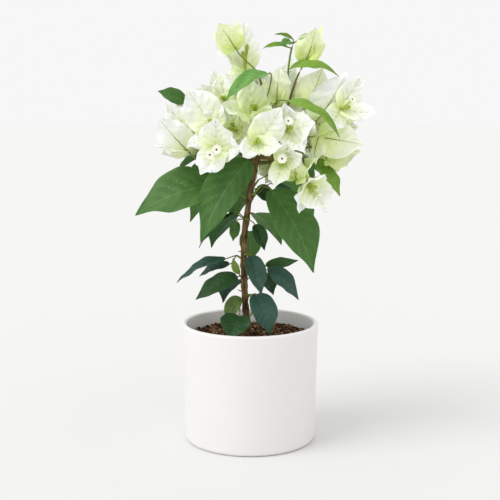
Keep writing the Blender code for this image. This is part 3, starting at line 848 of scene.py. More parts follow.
    def sunk(self, t: Array, s: Array, radii: Array, above_mm: float) -> Array:
        """Gives the middle line of a rib that is sunk in the sheet.

        Args:
            t: Shares along the blade.
            s: Shares across it.
            radii: The rib's radius in metres at each point.
            above_mm: How far it stands out of the upper side.

        Returns:
            The points.
        """
        rise = (self.form.thickness_mm / 2 + above_mm) * MM - radii
        return self.spots(t, s) + rise[:, None] * self.lifts(t, s)


# ---------------------------------------------------------------- the plant's rule


@dataclass(frozen=True)
class Bough:
    """A side limb: the stem height it leaves at, its side and its tip. The leader has no height."""

    name: str
    height: float | None
    turn: float | None
    tip: Point


@dataclass(frozen=True)
class Leaf:
    """A leaf's base and tip, its width, which way it faces, its arch and its green."""

    base: Point
    tip: Point
    width: float
    faces: tuple[float, float] = (0, 40)
    arch: float = 0.08
    tone: LeafTone = LeafTone.GREEN


@dataclass(frozen=True)
class Bract:
    """Where a bract's tip is, and its greatest width."""

    tip: Point
    width: float


@dataclass(frozen=True)
class Trio:
    """Three bracts round their flowers: the middle, the axis, how many flowers are open, the age.

    The stretch is how far its flowers and buds stand out, as a share of the usual.
    """

    at: Point
    faces: tuple[float, float]
    flowers: int
    bracts: tuple[Bract, ...]
    tone: BractTone = BractTone.CREAM
    stretch: float = 1.0


@dataclass(frozen=True)
class Mass:
    """Leaves and trios on one stem: where it springs from, its side, its end and what it bears."""

    name: str
    limb: str
    along: float
    turn: float | None
    reach: Point
    leaves: tuple[Leaf, ...]
    trios: tuple[Trio, ...] = ()


@dataclass(frozen=True)
class Sector:
    """A part of the crown's rear, over which a mass deals its trios and leaves."""

    turns: tuple[float, float]
    lifts: tuple[float, float]
    trios: int
    leaves: int
    seed: int


STEM_ROUTE = [
    (-1.6, 0, 93.3),
    (-2.4, 0, 106),
    (-4.2, 0, 119),
    (-5.0, 0.4, 140),
    (-5.6, 0.6, 161),
    (-4.8, 0.2, 184),
    (-2.2, 0, 203),
    (0.6, 0, 222),
    (4.6, 0, 242),
    (9.6, 0, 257),
]

BOUGHS = [
    Bough("bough_leader", None, None, (14, 3, 289)),
    Bough("bough_left", 247, -95, (-27, -7, 244)),
    Bough("bough_front_left", 255, -40, (-10, -26, 259)),
    Bough("bough_right", 246, 80, (40, -3, 256)),
    Bough("bough_front_right", 251, 30, (25, -24, 250)),
    Bough("bough_back_left", 242, -150, (-18, 28, 264)),
    Bough("bough_back_right", 252, 150, (30, 27, 266)),
]

G, D, B, O = LeafTone.GREEN, LeafTone.DEEP, LeafTone.BLUE, LeafTone.OLIVE
M, F, Y = LeafTone.MEADOW, LeafTone.FRESH, LeafTone.YOUNG
LIME, LEMON, CREAM, WHITE = BractTone.LIME, BractTone.LEMON, BractTone.CREAM, BractTone.WHITE

STEM_LEAVES = [
    Mass("leaves_at_soil_left", "main_stem", 125, -70, (-9, -6, 125), (
        Leaf((-9.6, -14, 113), (-18, -38, 97), 27, (0, 55), tone=D),
        Leaf((-9, -5, 128), (-21, -10, 108), 15, (-25, 10), tone=O),
    )),
    Mass("leaves_at_soil_right", "main_stem", 129, 60, (1.5, -5, 130), (
        Leaf((5.2, -8, 131), (17.5, -27, 99), 24, (10, 35), tone=B),
        Leaf((2.4, 3, 124), (-0.4, 7, 107), 9, (80, 20), tone=F),
    )),
    Mass("leaves_low_left", "main_stem", 145, -80, (-8.5, -2.5, 146), (
        Leaf((-11, -4, 146), (-48, -14, 129), 20, (-10, 50), tone=D),
        Leaf((-9.5, -7, 149), (-15, -8, 163), 8, (-30, 0), tone=Y),
    )),
    Mass("leaves_mid_left", "main_stem", 161, -85, (-12, 1, 164), (
        Leaf((-21, 0, 161), (-65, -5, 142), 15, (0, 70), tone=B),
        Leaf((-18, 8, 155), (-46, 10, 145), 13, (-10, 60), tone=B),
    )),
    Mass("leaves_low_right", "main_stem", 152, 75, (1.5, 3, 153), (
        Leaf((16, -3, 154), (43.5, -12, 128), 19, (20, 45), tone=B),
        Leaf((14, 9, 154), (42.5, 12, 159), 13, (150, 30), -0.12, tone=D),
        Leaf((4, 8, 148), (20.5, 12, 131), 14, (30, 30), tone=D),
    )),
    Mass("leaves_mid_right", "main_stem", 165, 20, (-2, -4.5, 166), (
        Leaf((0.8, -7, 164.5), (9.8, -22, 133), 18, (5, 30), tone=B),
    )),
    Mass("leaf_behind_stem", "main_stem", 182, 165, (-2, 6, 184), (
        Leaf((-1.5, 9, 184), (1, 15, 156), 20, (180, 40), tone=G),
    )),
    Mass("leaves_upper_mid", "main_stem", 196, -20, (-2, -6.5, 197), (
        Leaf((4.2, -6, 192), (12.8, -10, 170), 13, (15, 10), tone=D),
        Leaf((-11.5, -8, 195), (-15, -10, 178), 10, (-15, 5), tone=G),
        Leaf((-14, 1, 202), (-45.5, -12, 174), 8, (-40, 60), tone=D),
    )),
    Mass("leaf_big_front_left", "main_stem", 235, -35, (-1, -6, 244), (
        Leaf((-1.5, -8, 247.5), (-43.5, -36, 182), 38, (-20, 30), 0.06, tone=G),
    )),
    Mass("leaf_big_left", "main_stem", 214, -105, (-14, 1, 222), (
        Leaf((-28, 0, 226), (-100, -10, 203), 47, (-6, 46), 0.07, tone=G),
    )),
    Mass("leaf_big_right", "main_stem", 217, 40, (10, -6, 226), (
        Leaf((18, -8, 222), (56, -30, 155), 41, (25, 28), 0.07, tone=G),
    )),
    Mass("leaves_upper_right", "main_stem", 213, 85, (5, 4, 217), (
        Leaf((5.5, 7, 222), (21, 12, 211), 15, (20, 20), tone=D),
        Leaf((21, 5, 226), (40, 5, 214), 10, (10, 60), tone=B),
    )),
    Mass("leaves_back_low", "main_stem", 137, 175, (-5, 7, 139), (
        Leaf((-9, 14, 140), (-26, 40, 116), 23, (-150, 50), tone=B),
        Leaf((2, 15, 142), (22, 42, 122), 24, (150, 50), tone=D),
    )),
    Mass("leaves_back_mid", "main_stem", 192, -165, (-6, 8, 196), (
        Leaf((-11, 14, 197), (-36, 40, 166), 28, (-145, 45), tone=D),
        Leaf((4, 15, 199), (30, 44, 170), 29, (150, 45), tone=G),
    )),
    Mass("leaf_big_back_left", "main_stem", 228, -160, (-3, 9, 234), (
        Leaf((-10, 14, 236), (-56, 46, 190), 37, (-140, 40), tone=G),
        Leaf((-4, 15, 231), (-15, 52, 188), 30, (-165, 40), tone=G),
    )),
    Mass("leaf_big_back_right", "main_stem", 224, 140, (8, 9, 230), (
        Leaf((17, 14, 232), (60, 50, 183), 38, (140, 40), tone=G),
    )),
]

CROWN_FRONT = [
    Mass("leaves_at_top", "bough_leader", 0.72, 95, (36.5, -2, 346), (
        Leaf((34, -10, 325), (75, -17, 321), 14, (-5, 58), 0.13, tone=F),
        Leaf((36, -2, 350), (21, 0, 354), 5, (-30, 50), 0.12, tone=Y),
        Leaf((32, -4, 343), (11, -8, 343), 8, (-20, 55), 0.1, tone=F),
        Leaf((34.5, -6, 347), (25, -11, 345), 9, (0, 40), 0.1, tone=M),
        Leaf((39.5, -4, 348), (57, -7, 353), 8, (20, 65), 0.1, tone=M),
    )),
    Mass("blossom_top_left", "bough_leader", 1.0, None, (7, 3, 322), (), (
        Trio((-12, -8, 342), (-135, 54), 0, (
            Bract((-26, -14, 363), 26), Bract((-30, 8, 358), 18), Bract((-11, 12, 365), 18)), LIME),
        Trio((-4, 6, 326), (10, 50), 0, (
            Bract((-28, 4, 362), 24), Bract((-4, 16, 366), 28), Bract((-16, -10, 305), 26)), WHITE, 1.9),
    )),
    Mass("blossom_top_right", "bough_leader", 0.45, 80, (43, -4, 324), (), (
        Trio((47, -4, 332), (120, 79), 0, (
            Bract((54, -10, 360), 27), Bract((59, 2, 363), 20), Bract((42, 4, 354), 20)), LIME),
    )),
    Mass("blossom_upper_centre", "bough_leader", 0.6, -20, (12, -12, 289), (
        Leaf((15, -15, 321), (-20, -36, 299), 20, (-10, 62), 0.1, tone=M),
        Leaf((31, -26, 298), (76, -34, 270), 11, (15, 45), 0.16, tone=F),
    ), (
        Trio((5, -16, 288), (-5, 45), 0, (
            Bract((-3, -4, 321), 32), Bract((15, 2, 316), 26), Bract((-23, -26, 297), 26)), LEMON),
        Trio((23, -8, 297), (153, 79), 0, (
            Bract((25, -14, 328), 25), Bract((34, 0, 323), 20), Bract((17, 4, 322), 20)), LEMON),
        Trio((9, -18, 281), (-5, 5), 0, (
            Bract((-12, -38, 282), 26), Bract((3, -42, 296), 30), Bract((21, -36, 291), 20)), LEMON),
    )),
    Mass("blossom_upper_left", "bough_left", 0.7, -20, (-26, -16, 274), (
        Leaf((-56, 6, 297), (-79, 4, 307), 15, (-25, 35), tone=G),
    ), (
        Trio((-20, -4, 295), (-15, 45), 0, (
            Bract((-29, 2, 328), 32), Bract((-41, -8, 312), 22), Bract((-9, 10, 314), 22)), CREAM),
        Trio((-30, -26, 277), (-20, 30), 0, (
            Bract((-53, -26, 309), 36), Bract((-24, -14, 306), 28), Bract((-53, -35, 262), 20)), WHITE),
        Trio((-12, -12, 274), (-20, 20), 0, (
            Bract((-23, -10, 303), 30), Bract((-30, -24, 268), 24), Bract((2, -24, 268), 22)), CREAM),
    )),
    Mass("blossom_left", "bough_left", 1.0, None, (-45, -12, 248), (), (
        Trio((-53, -14, 256), (-111, 41), 0, (
            Bract((-78, -22, 285), 30), Bract((-80, -6, 264), 26), Bract((-70, 12, 283), 24)), WHITE),
        Trio((-46, -8, 272), (-40, 50), 0, (
            Bract((-72, -6, 297), 28), Bract((-52, -4, 302), 26), Bract((-52, 18, 288), 24)), WHITE),
    )),
    Mass("blossom_front_left", "bough_front_left", 1.0, None, (-22, -34, 257), (), (
        Trio((-28, -38, 259), (-15, 0), 2, (
            Bract((-9, -53, 261), 24), Bract((-40, -58, 242), 26), Bract((-29, -49, 284), 31)), WHITE),
    )),
    Mass("blossom_front_centre", "bough_leader", 0.12, -5, (6, -28, 264), (), (
        Trio((5, -38, 265), (0, 10), 0, (
            Bract((27, -46, 295), 32), Bract((-7, -62, 253), 21), Bract((24, -60, 263), 18)), WHITE),
    )),
    Mass("blossom_front_right", "bough_front_right", 0.6, 5, (28, -28, 262), (), (
        Trio((30, -32, 274), (10, 20), 1, (
            Bract((29, -38, 296), 24), Bract((52, -46, 282), 30), Bract((44, -48, 259), 24)), WHITE),
        Trio((27, -38, 248), (-10, 0), 1, (
            Bract((33, -50, 270), 27), Bract((20, -58, 231), 19), Bract((44, -52, 255), 20)), CREAM),
    )),
    Mass("blossom_right_low", "bough_front_right", 1.0, None, (38, -26, 236), (), (
        Trio((39, -30, 234), (3, 54), 0, (
            Bract((36, -50, 249), 32), Bract((52, -44, 253), 24), Bract((33, -22, 257), 24)), LIME),
        Trio((49, -30, 229), (44, -30), 1, (
            Bract((66, -41, 209), 34), Bract((42, -44, 206), 25), Bract((62, -46, 240), 22)), WHITE),
    )),
    Mass("blossom_upper_right", "bough_right", 0.75, 60, (53, -5, 282), (), (
        Trio((49, -4, 293), (150, 45), 0, (
            Bract((62, -4, 325), 33), Bract((47, 24, 316), 26), Bract((72, 26, 307), 26)), LEMON),
        Trio((57, -8, 282), (139, 51), 0, (
            Bract((81, -10, 322), 36), Bract((55, 14, 301), 18), Bract((76, 20, 304), 26)), WHITE),
        Trio((77, -20, 292), (35, 20), 1, (
            Bract((94, -18, 319), 24), Bract((106, -28, 290), 20), Bract((68, -34, 276), 24)), WHITE),
    )),
    Mass("blossom_right", "bough_right", 1.0, None, (60, -8, 261), (
        Leaf((56, 8, 247), (79, 3, 216), 18, (40, 20), 0.06, tone=F),
    ), (
        Trio((59, -18, 268), (124, -10), 0, (
            Bract((95, -18, 262), 34), Bract((81, 8, 285), 28), Bract((56, -26, 245), 24)), LEMON),
        Trio((67, -3, 249), (124, -20), 0, (
            Bract((95, -4, 255), 25), Bract((76, 6, 235), 22), Bract((88, 22, 246), 24)), LEMON),
        Trio((79, -4, 274), (133, 7), 0, (
            Bract((103, -4, 278), 22), Bract((92, 20, 261), 24), Bract((93, 20, 292), 26)), CREAM),
    )),
]

CROWN_CENTRE = (10, 2, 268)
CROWN_RADII = (60, 50, 42)
CROWN_REAR = [
    ("blossom_back_far_left", "bough_left", 0.5, -160, (-36, 10, 262),
     Sector((-125, -98), (-15, 40), 2, 1, 17)),
    ("blossom_back_left", "bough_back_left", 1.0, None, (-34, 32, 266),
     Sector((-150, -108), (-25, 45), 4, 3, 11)),
    ("blossom_back_middle", "bough_back_left", 0.6, 170, (-6, 38, 282),
     Sector((-178, -145), (-15, 60), 4, 2, 22)),
    ("blossom_back_right", "bough_back_right", 1.0, None, (46, 34, 266),
     Sector((105, 142), (-30, 40), 4, 3, 13)),
    ("blossom_back_centre", "bough_back_right", 0.6, 185, (26, 38, 284),
     Sector((145, 178), (-20, 55), 4, 1, 14)),
    ("blossom_back_low", "bough_back_left", 0.3, 200, (2, 34, 243),
     Sector((155, 208), (-46, -26), 3, 0, 15)),
    ("blossom_top_back", "bough_leader", 0.8, 180, (14, 24, 304),
     Sector((130, 235), (48, 72), 3, 2, 16)),
]
REAR_BRACT = (33, 40)
REAR_SPREAD = (44, 62)
REAR_TURN_SCATTER = 14
REAR_LIFT_SCATTER = 8
REAR_LIFT_SHARE = 0.7
REAR_SPIN = 120
REAR_LEAF = (38, 56)
REAR_LEAF_WIDTH = 0.52
REAR_LEAF_DEPTH = 0.72
REAR_LEAF_DROP = (6, 18)
REAR_LEAF_LIFT = (-48, -15)
REAR_LEAF_FACING = 50
GOLDEN_SHARE = 0.618
REAR_TONES = (WHITE, CREAM, WHITE, LEMON)

STEM_FOOT_RADIUS = 4.6
STEM_LOW_RADIUS = 2.7
STEM_FORK_RADIUS = 2.2
STEM_FLARE_HEIGHT = 14
SIDE_STEM_LIFT = 45
STEM_STEPS = 24
LIMB_STEPS = 18
BOUGH_MM = (1.7, 1.1)
SPRIG_MM = (1.1, 0.8)
TRIO_STALK_MM = (0.7, 0.55)
STALK_MM = 0.55
BRACT_WIDTH = 0.84
BRACT_ARCH = -0.1
ROOT_DEPTH = 1.2
CROWDED = (
    (1, 0), (0.94, -8), (0.94, 8), (0.86, -15), (0.86, 14), (0.75, -22), (0.74, 4), (0.72, 22), (0.6, -10),
    (0.58, 12), (0.5, -24),
)
TIP_TOLERANCE = 0.05


def in_crown(turn: float, lift: float, depth: float) -> Point:
    """Gives a point of the crown's egg shape towards a turn and a lift, at a share of the way out."""
    out = direction(turn, lift)
    return tuple(Vector([c + r * depth * o for c, r, o in zip(CROWN_CENTRE, CROWN_RADII, out)]))


def spread_bracts(
    at: Point, faces: tuple[float, float], length: float, spread: float, spin: float
) -> tuple[Bract, ...]:
    """Sets three even bracts round an axis.

    Args:
        at: Their middle.
        faces: Turn and lift of the axis.
        length: Their length in mm.
        spread: Degrees that they lean away from the axis.
        spin: Degrees that they are turned about it.

    Returns:
        The bracts.
    """
    axis = direction(*faces)
    across = axis.cross(Vector((0, 0, 1))).normalized()
    up = across.cross(axis)
    found = []
    for k in range(3):
        turn = math.radians(spin + 120 * k)
        outward = math.cos(turn) * across + math.sin(turn) * up
        way = math.cos(math.radians(spread)) * axis + math.sin(math.radians(spread)) * outward
        found.append(Bract(tuple(Vector(at) + way * length), length * BRACT_WIDTH))
    return tuple(found)


def dealt(sector: Sector) -> tuple[tuple[Leaf, ...], tuple[Trio, ...]]:
    """Deals a rear mass's leaves and trios evenly over its sector, with a little scatter.

    Args:
        sector: Where they go and how many there are.

    Returns:
        The leaves and the trios.
    """
    deal = random.Random(sector.seed)
    trios = []
    for i in range(sector.trios):
        turn = between(sector.turns, (0.25 + i * GOLDEN_SHARE) % 1.0)
        lift = between(sector.lifts, (i + 0.5) / sector.trios)
        scatter = deal.uniform(-REAR_TURN_SCATTER, REAR_TURN_SCATTER)
        tilt = deal.uniform(-REAR_LIFT_SCATTER, REAR_LIFT_SCATTER)
        faces = (turn + scatter, lift * REAR_LIFT_SHARE + tilt)
        length = deal.uniform(*REAR_BRACT)
        spread = deal.uniform(*REAR_SPREAD)
        spin = deal.uniform(0, REAR_SPIN)
        at = in_crown(turn, lift, 1)
        tone = REAR_TONES[(i + sector.seed) % len(REAR_TONES)]
        bracts = spread_bracts(at, faces, length, spread, spin)
        trios.append(Trio(at, faces, deal.randint(0, 1), bracts, tone))
    leaves = []
    for i in range(sector.leaves):
        turn = between(sector.turns, (i + 0.5) / sector.leaves)
        lift = sector.lifts[0] - deal.uniform(*REAR_LEAF_DROP)
        length = deal.uniform(*REAR_LEAF)
        base = in_crown(turn, lift, REAR_LEAF_DEPTH)
        tip = tuple(Vector(base) + direction(turn, deal.uniform(*REAR_LEAF_LIFT)) * length)
        leaves.append(Leaf(base, tip, length * REAR_LEAF_WIDTH, (turn, REAR_LEAF_FACING)))
    return tuple(leaves), tuple(trios)


REAR_MASSES = [Mass(*row, *dealt(sector)) for *row, sector in CROWN_REAR]
ALL_MASSES = STEM_LEAVES + CROWN_FRONT + REAR_MASSES


@dataclass
class Growth:
    """The plant's middle lines, and a search of the solids for the tips of leaves and bracts."""

    stem: list[Vector] = field(default_factory=list)
    boughs: dict[str, list[Vector]] = field(default_factory=dict)
    sprigs: dict[str, list[Vector]] = field(default_factory=dict)

    def __post_init__(self) -> None:
        """Lays the stem, then the boughs on it, then each mass's own stem."""
        self.stem = smoothed([metres(point) for point in STEM_ROUTE], STEM_STEPS)
        for bough in BOUGHS:
            start, way = self.off_stem(bough.height, bough.turn)
            tip = metres(bough.tip)
            self.boughs[bough.name] = bend(start, way, tip, (tip - start).normalized(), LIMB_STEPS)
        for mass in ALL_MASSES:
            start, way = self.start_of(mass)
            end = metres(mass.reach)
            self.sprigs[mass.name] = bend(start, way, end, (end - start).normalized(), LIMB_STEPS)
        self.trees = {name: self.tree_of(node) for name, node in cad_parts.items()}

    @staticmethod
    def tree_of(node: bpy.types.Object) -> KDTree:
        """Sorts a solid's corner points for a search.

        Args:
            node: The solid.

        Returns:
            The tree of its corners.
        """
        tree = KDTree(len(node.data.vertices))
        for vertex in node.data.vertices:
            tree.insert(vertex.co, vertex.index)
        tree.balance()
        return tree

    def off_stem(self, height: float | None, turn: float | None) -> tuple[Vector, Vector]:
        """Finds where a limb springs from the stem.

        Args:
            height: The height in mm, or None for the leader, which runs on from the fork.
            turn: The side that it leaves on.

        Returns:
            A point on the stem's middle line, and the unit direction of the limb there.
        """
        if height is None:
            return self.stem[-1], (self.stem[-1] - self.stem[-3]).normalized()
        step = min(range(1, len(self.stem)), key=lambda i: abs(self.stem[i].z - height * MM))
        run = (self.stem[step] - self.stem[step - 1]).normalized()
        out = direction(turn, 0)
        return self.stem[step], (out - out.dot(run) * run).normalized()

    def start_of(self, mass: Mass) -> tuple[Vector, Vector]:
        """Finds where a mass's stem springs, and which way it leaves.

        Args:
            mass: The mass.

        Returns:
            The point on what carries it, and the unit direction.
        """
        if mass.limb == "main_stem":
            return self.off_stem(mass.along, mass.turn)
        line = self.boughs[mass.limb]
        step = min(round(mass.along * LIMB_STEPS), LIMB_STEPS - 1)
        run = (line[step + 1] - line[step]).normalized()
        if mass.along == 1.0:
            return line[-1], run
        out = direction(mass.turn, SIDE_STEM_LIFT)
        return line[step], (out - out.dot(run) * run).normalized()

    def root_on(self, mass: Mass, target: Vector) -> Vector:
        """Finds the point of a mass's stem, past its first third, that is nearest to a target."""
        line = self.sprigs[mass.name][LIMB_STEPS // 3:]
        return min(line, key=lambda spot: (spot - target).length)

    def grew(self, mass: Mass, tip: Vector) -> bool:
        """Says whether the mass's solid has a corner at a point, as where a leaf or bract ends."""
        return self.trees[mass.name].find(tip)[2] < TIP_TOLERANCE * MM

    def bracts(self, mass: Mass, trio: Trio) -> list[tuple[int, Vector, Vector, float]]:
        """Finds how a trio's bracts stand. A crowded one is shorter and leans, as in the solids.

        One that the solids don't show at all is left out behind, and stands at full size in front.

        Args:
            mass: The mass that bears the trio.
            trio: The trio.

        Returns:
            For each bract, its number, its tip and its inward side, and its width in mm.
        """
        middle = metres(trio.at)
        axis = direction(*trio.faces)
        found = []
        for k, bract in enumerate(trio.bracts):
            reach = metres(bract.tip) - middle
            way = reach.normalized()
            inward = (axis - axis.dot(way) * way).normalized()
            poses = []
            for scale, shift in CROWDED:
                lean = math.radians(shift)
                tip = middle + (math.cos(lean) * way - math.sin(lean) * inward) * reach.length * scale
                poses.append((k, tip, math.cos(lean) * inward + math.sin(lean) * way, bract.width * scale))
            grown = [pose for pose in poses if self.grew(mass, pose[1])]
            if grown:
                found.append(grown[0])
            elif mass in CROWN_FRONT:
                found.append(poses[0])
        return found


# ---------------------------------------------------------------- sub-assemblies


@dataclass
class Pot:
    """Straight pot with a softened foot and a round lip, turned finely over its solid."""

    wall_mm: float = 4.4
    floor_mm: float = 6.0
    foot_rounding_mm: float = 3.5
    foot_radius_mm: float = 57.4
    sides: int = 192
    arc_steps: int = 8

    def build(self) -> list[bpy.types.Object]:
        """Builds the pot from the size of its solid.

        Returns:
            The one piece.
        """
        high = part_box("pot")[1]
        rim, height = high.x / MM, high.z / MM
        lip = self.wall_mm / 2
        foot = self.foot_radius_mm - self.foot_rounding_mm
        rows = [(0.0, 0.0, 0.0), (0.0, foot * 0.5, 0.0), (0.0, foot, 0.0)]
        for step in range(1, self.arc_steps + 1):
            a = math.pi / 2 * step / self.arc_steps
            rows.append((
                self.foot_rounding_mm * (1 - math.cos(a)), foot + self.foot_rounding_mm * math.sin(a), 0.0,
            ))
        low, top = self.foot_rounding_mm, height - lip
        for share in (0.25, 0.5, 0.75):
            rows.append((between((low, top), share), between((self.foot_radius_mm, rim), share), 0.0))
        for step in range(2 * self.arc_steps + 1):
            a = math.pi / 2 * step / self.arc_steps
            rows.append((top + lip * math.sin(a), rim - lip + lip * math.cos(a), 0.0))
        inner = self.foot_radius_mm - self.wall_mm
        rows += [(top * 0.6, between((inner, rim - 2 * lip), 0.6), 0.0), (self.floor_mm, inner, 0.0)]
        rows += [(self.floor_mm, inner * 0.5, 0.0), (self.floor_mm, 0.0, 0.0)]
        pile = Pile("matt_white_pot", "white_ceramic")
        shape = spun(Vector(), Vector((0, 0, 1)), rows, self.sides)
        inside = self.sides * 4
        outside = len(shape[1]) - inside
        # The inside faces take the glaze painted whiter, as painted light against the shade in the pot.
        pile.add(shape, [MATT_GLAZE] * outside + [INNER_GLAZE_PAINTED_LIGHT] * inside)
        return [pile.piece(["pot"])]


@dataclass
class PottingMix:
    """Bark and peat that fill the pot: an uneven surface, crumbs of bark on it and a few fibres."""

    sides: int = 96
    rings: int = 26
    swell_mm: float = 1.3
    crumbs: int = 2600
    sunk_mm: float = 1.4
    crumb_mm: tuple[float, float] = (0.7, 2.1)
    crumb_sides: int = 5
    crumb_margin_mm: float = 1.6
    crumb_jitter: float = 0.16
    fibres: int = 16
    fibre_points: int = 9
    fibre_step_mm: float = 1.4
    fibre_mm: tuple[float, float] = (0.3, 0.12)
    seed: int = 21

    def height(self, x: float, y: float) -> float:
        """Gives the surface's height over its mean at a place, all in mm."""
        waves = math.sin(x * 0.21 + 1.0) * math.sin(y * 0.17 + 2.0) + 0.6 * math.sin(x * 0.45 + y * 0.38)
        return self.swell_mm * 0.6 * waves + 1.5 * math.exp(-(x * x + y * y) / 180)

    def build(self) -> list[bpy.types.Object]:
        """Builds the fill and what lies on it.

        Returns:
            The fill and the loose crumbs.
        """
        low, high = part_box("potting_soil")
        edge = high.x / MM
        level = high.z / MM - self.sunk_mm
        angles = 2 * math.pi * np.arange(self.sides) / self.sides
        rings = [np.array([[0.0, 0.0, low.z]])]
        for radius, height in ((edge - 2.3, low.z / MM), (edge, level - 2)):
            level_ring = (np.cos(angles) * radius, np.sin(angles) * radius, np.full(self.sides, height))
            rings.append(np.stack(level_ring, 1) * MM)
        for i in range(self.rings):
            radius = edge * (1 - (i + 0.4) / self.rings)
            spots = [(math.cos(a) * radius, math.sin(a) * radius) for a in angles]
            rings.append(np.array([(x, y, level + self.height(x, y)) for x, y in spots]) * MM)
        rings.append(np.array([[0.0, 0.0, (level + self.height(0, 0)) * MM]]))
        fill = Pile("potting_mix", "bark_and_peat")
        fill.add(loft(rings), PEAT)
        loose = Pile("bark_crumbs", "bark_and_peat")
        chance = random.Random(self.seed)
        for _ in range(self.crumbs):
            self.drop_crumb(loose, chance, edge, level)
        for _ in range(self.fibres):
            self.lay_fibre(loose, chance, edge, level)
        return [fill.piece(["potting_soil"]), loose.piece()]

    def drop_crumb(self, pile: Pile, chance: random.Random, edge: float, level: float) -> None:
        """Adds one splintered crumb, half sunk in the surface.

        Args:
            pile: The piece that it joins.
            chance: The draw.
            edge: The fill's radius in mm.
            level: The surface's mean height in mm.
        """
        radius = (edge - self.crumb_margin_mm) * math.sqrt(chance.random())
        a = chance.uniform(0, 2 * math.pi)
        x, y = radius * math.cos(a), radius * math.sin(a)
        size = chance.uniform(*self.crumb_mm)
        way = direction(chance.uniform(0, 360), chance.uniform(-35, 35))
        long = size * chance.uniform(0.7, 1.5)
        rows = [(-long, 0.0, 0.0), (-long * 0.6, size * chance.uniform(0.4, 0.75), 0.0)]
        rows += [(long * 0.5, size * chance.uniform(0.45, 0.8), 0.0), (long, 0.0, 0.0)]
        middle = Vector((x, y, level + self.height(x, y) + size * 0.25)) * MM
        points, faces = spun(middle, way, rows, self.crumb_sides)
        squash = chance.uniform(0.5, 0.85)
        points[:, 2] = middle.z + (points[:, 2] - middle.z) * squash
        jitter = np.array([[chance.uniform(-1, 1) for _ in range(3)] for _ in points])
        wear = chance.choices(CRUMBS, CRUMB_WEIGHTS)[0]
        pile.add((points + jitter * size * self.crumb_jitter * MM, faces), wear)

    def lay_fibre(self, pile: Pile, chance: random.Random, edge: float, level: float) -> None:
        """Adds one dry fibre that lies across the crumbs.

        Args:
            pile: The piece that it joins.
            chance: The draw.
            edge: The fill's radius in mm.
            level: The surface's mean height in mm.
        """
        radius, a = edge * 0.75 * math.sqrt(chance.random()), chance.uniform(0, 2 * math.pi)
        x, y, heading = radius * math.cos(a), radius * math.sin(a), chance.uniform(0, 2 * math.pi)
        path = []
        for i in range(self.fibre_points):
            path.append(Vector((x, y, level + self.height(x, y) + 1.4 + 0.5 * math.sin(i * 0.9))) * MM)
            heading += chance.uniform(-0.5, 0.5)
            x += self.fibre_step_mm * math.cos(heading)
            y += self.fibre_step_mm * math.sin(heading)
        pile.add(tube(path, np.linspace(*self.fibre_mm, len(path)) * MM, self.crumb_sides), ROOT_FIBRE)


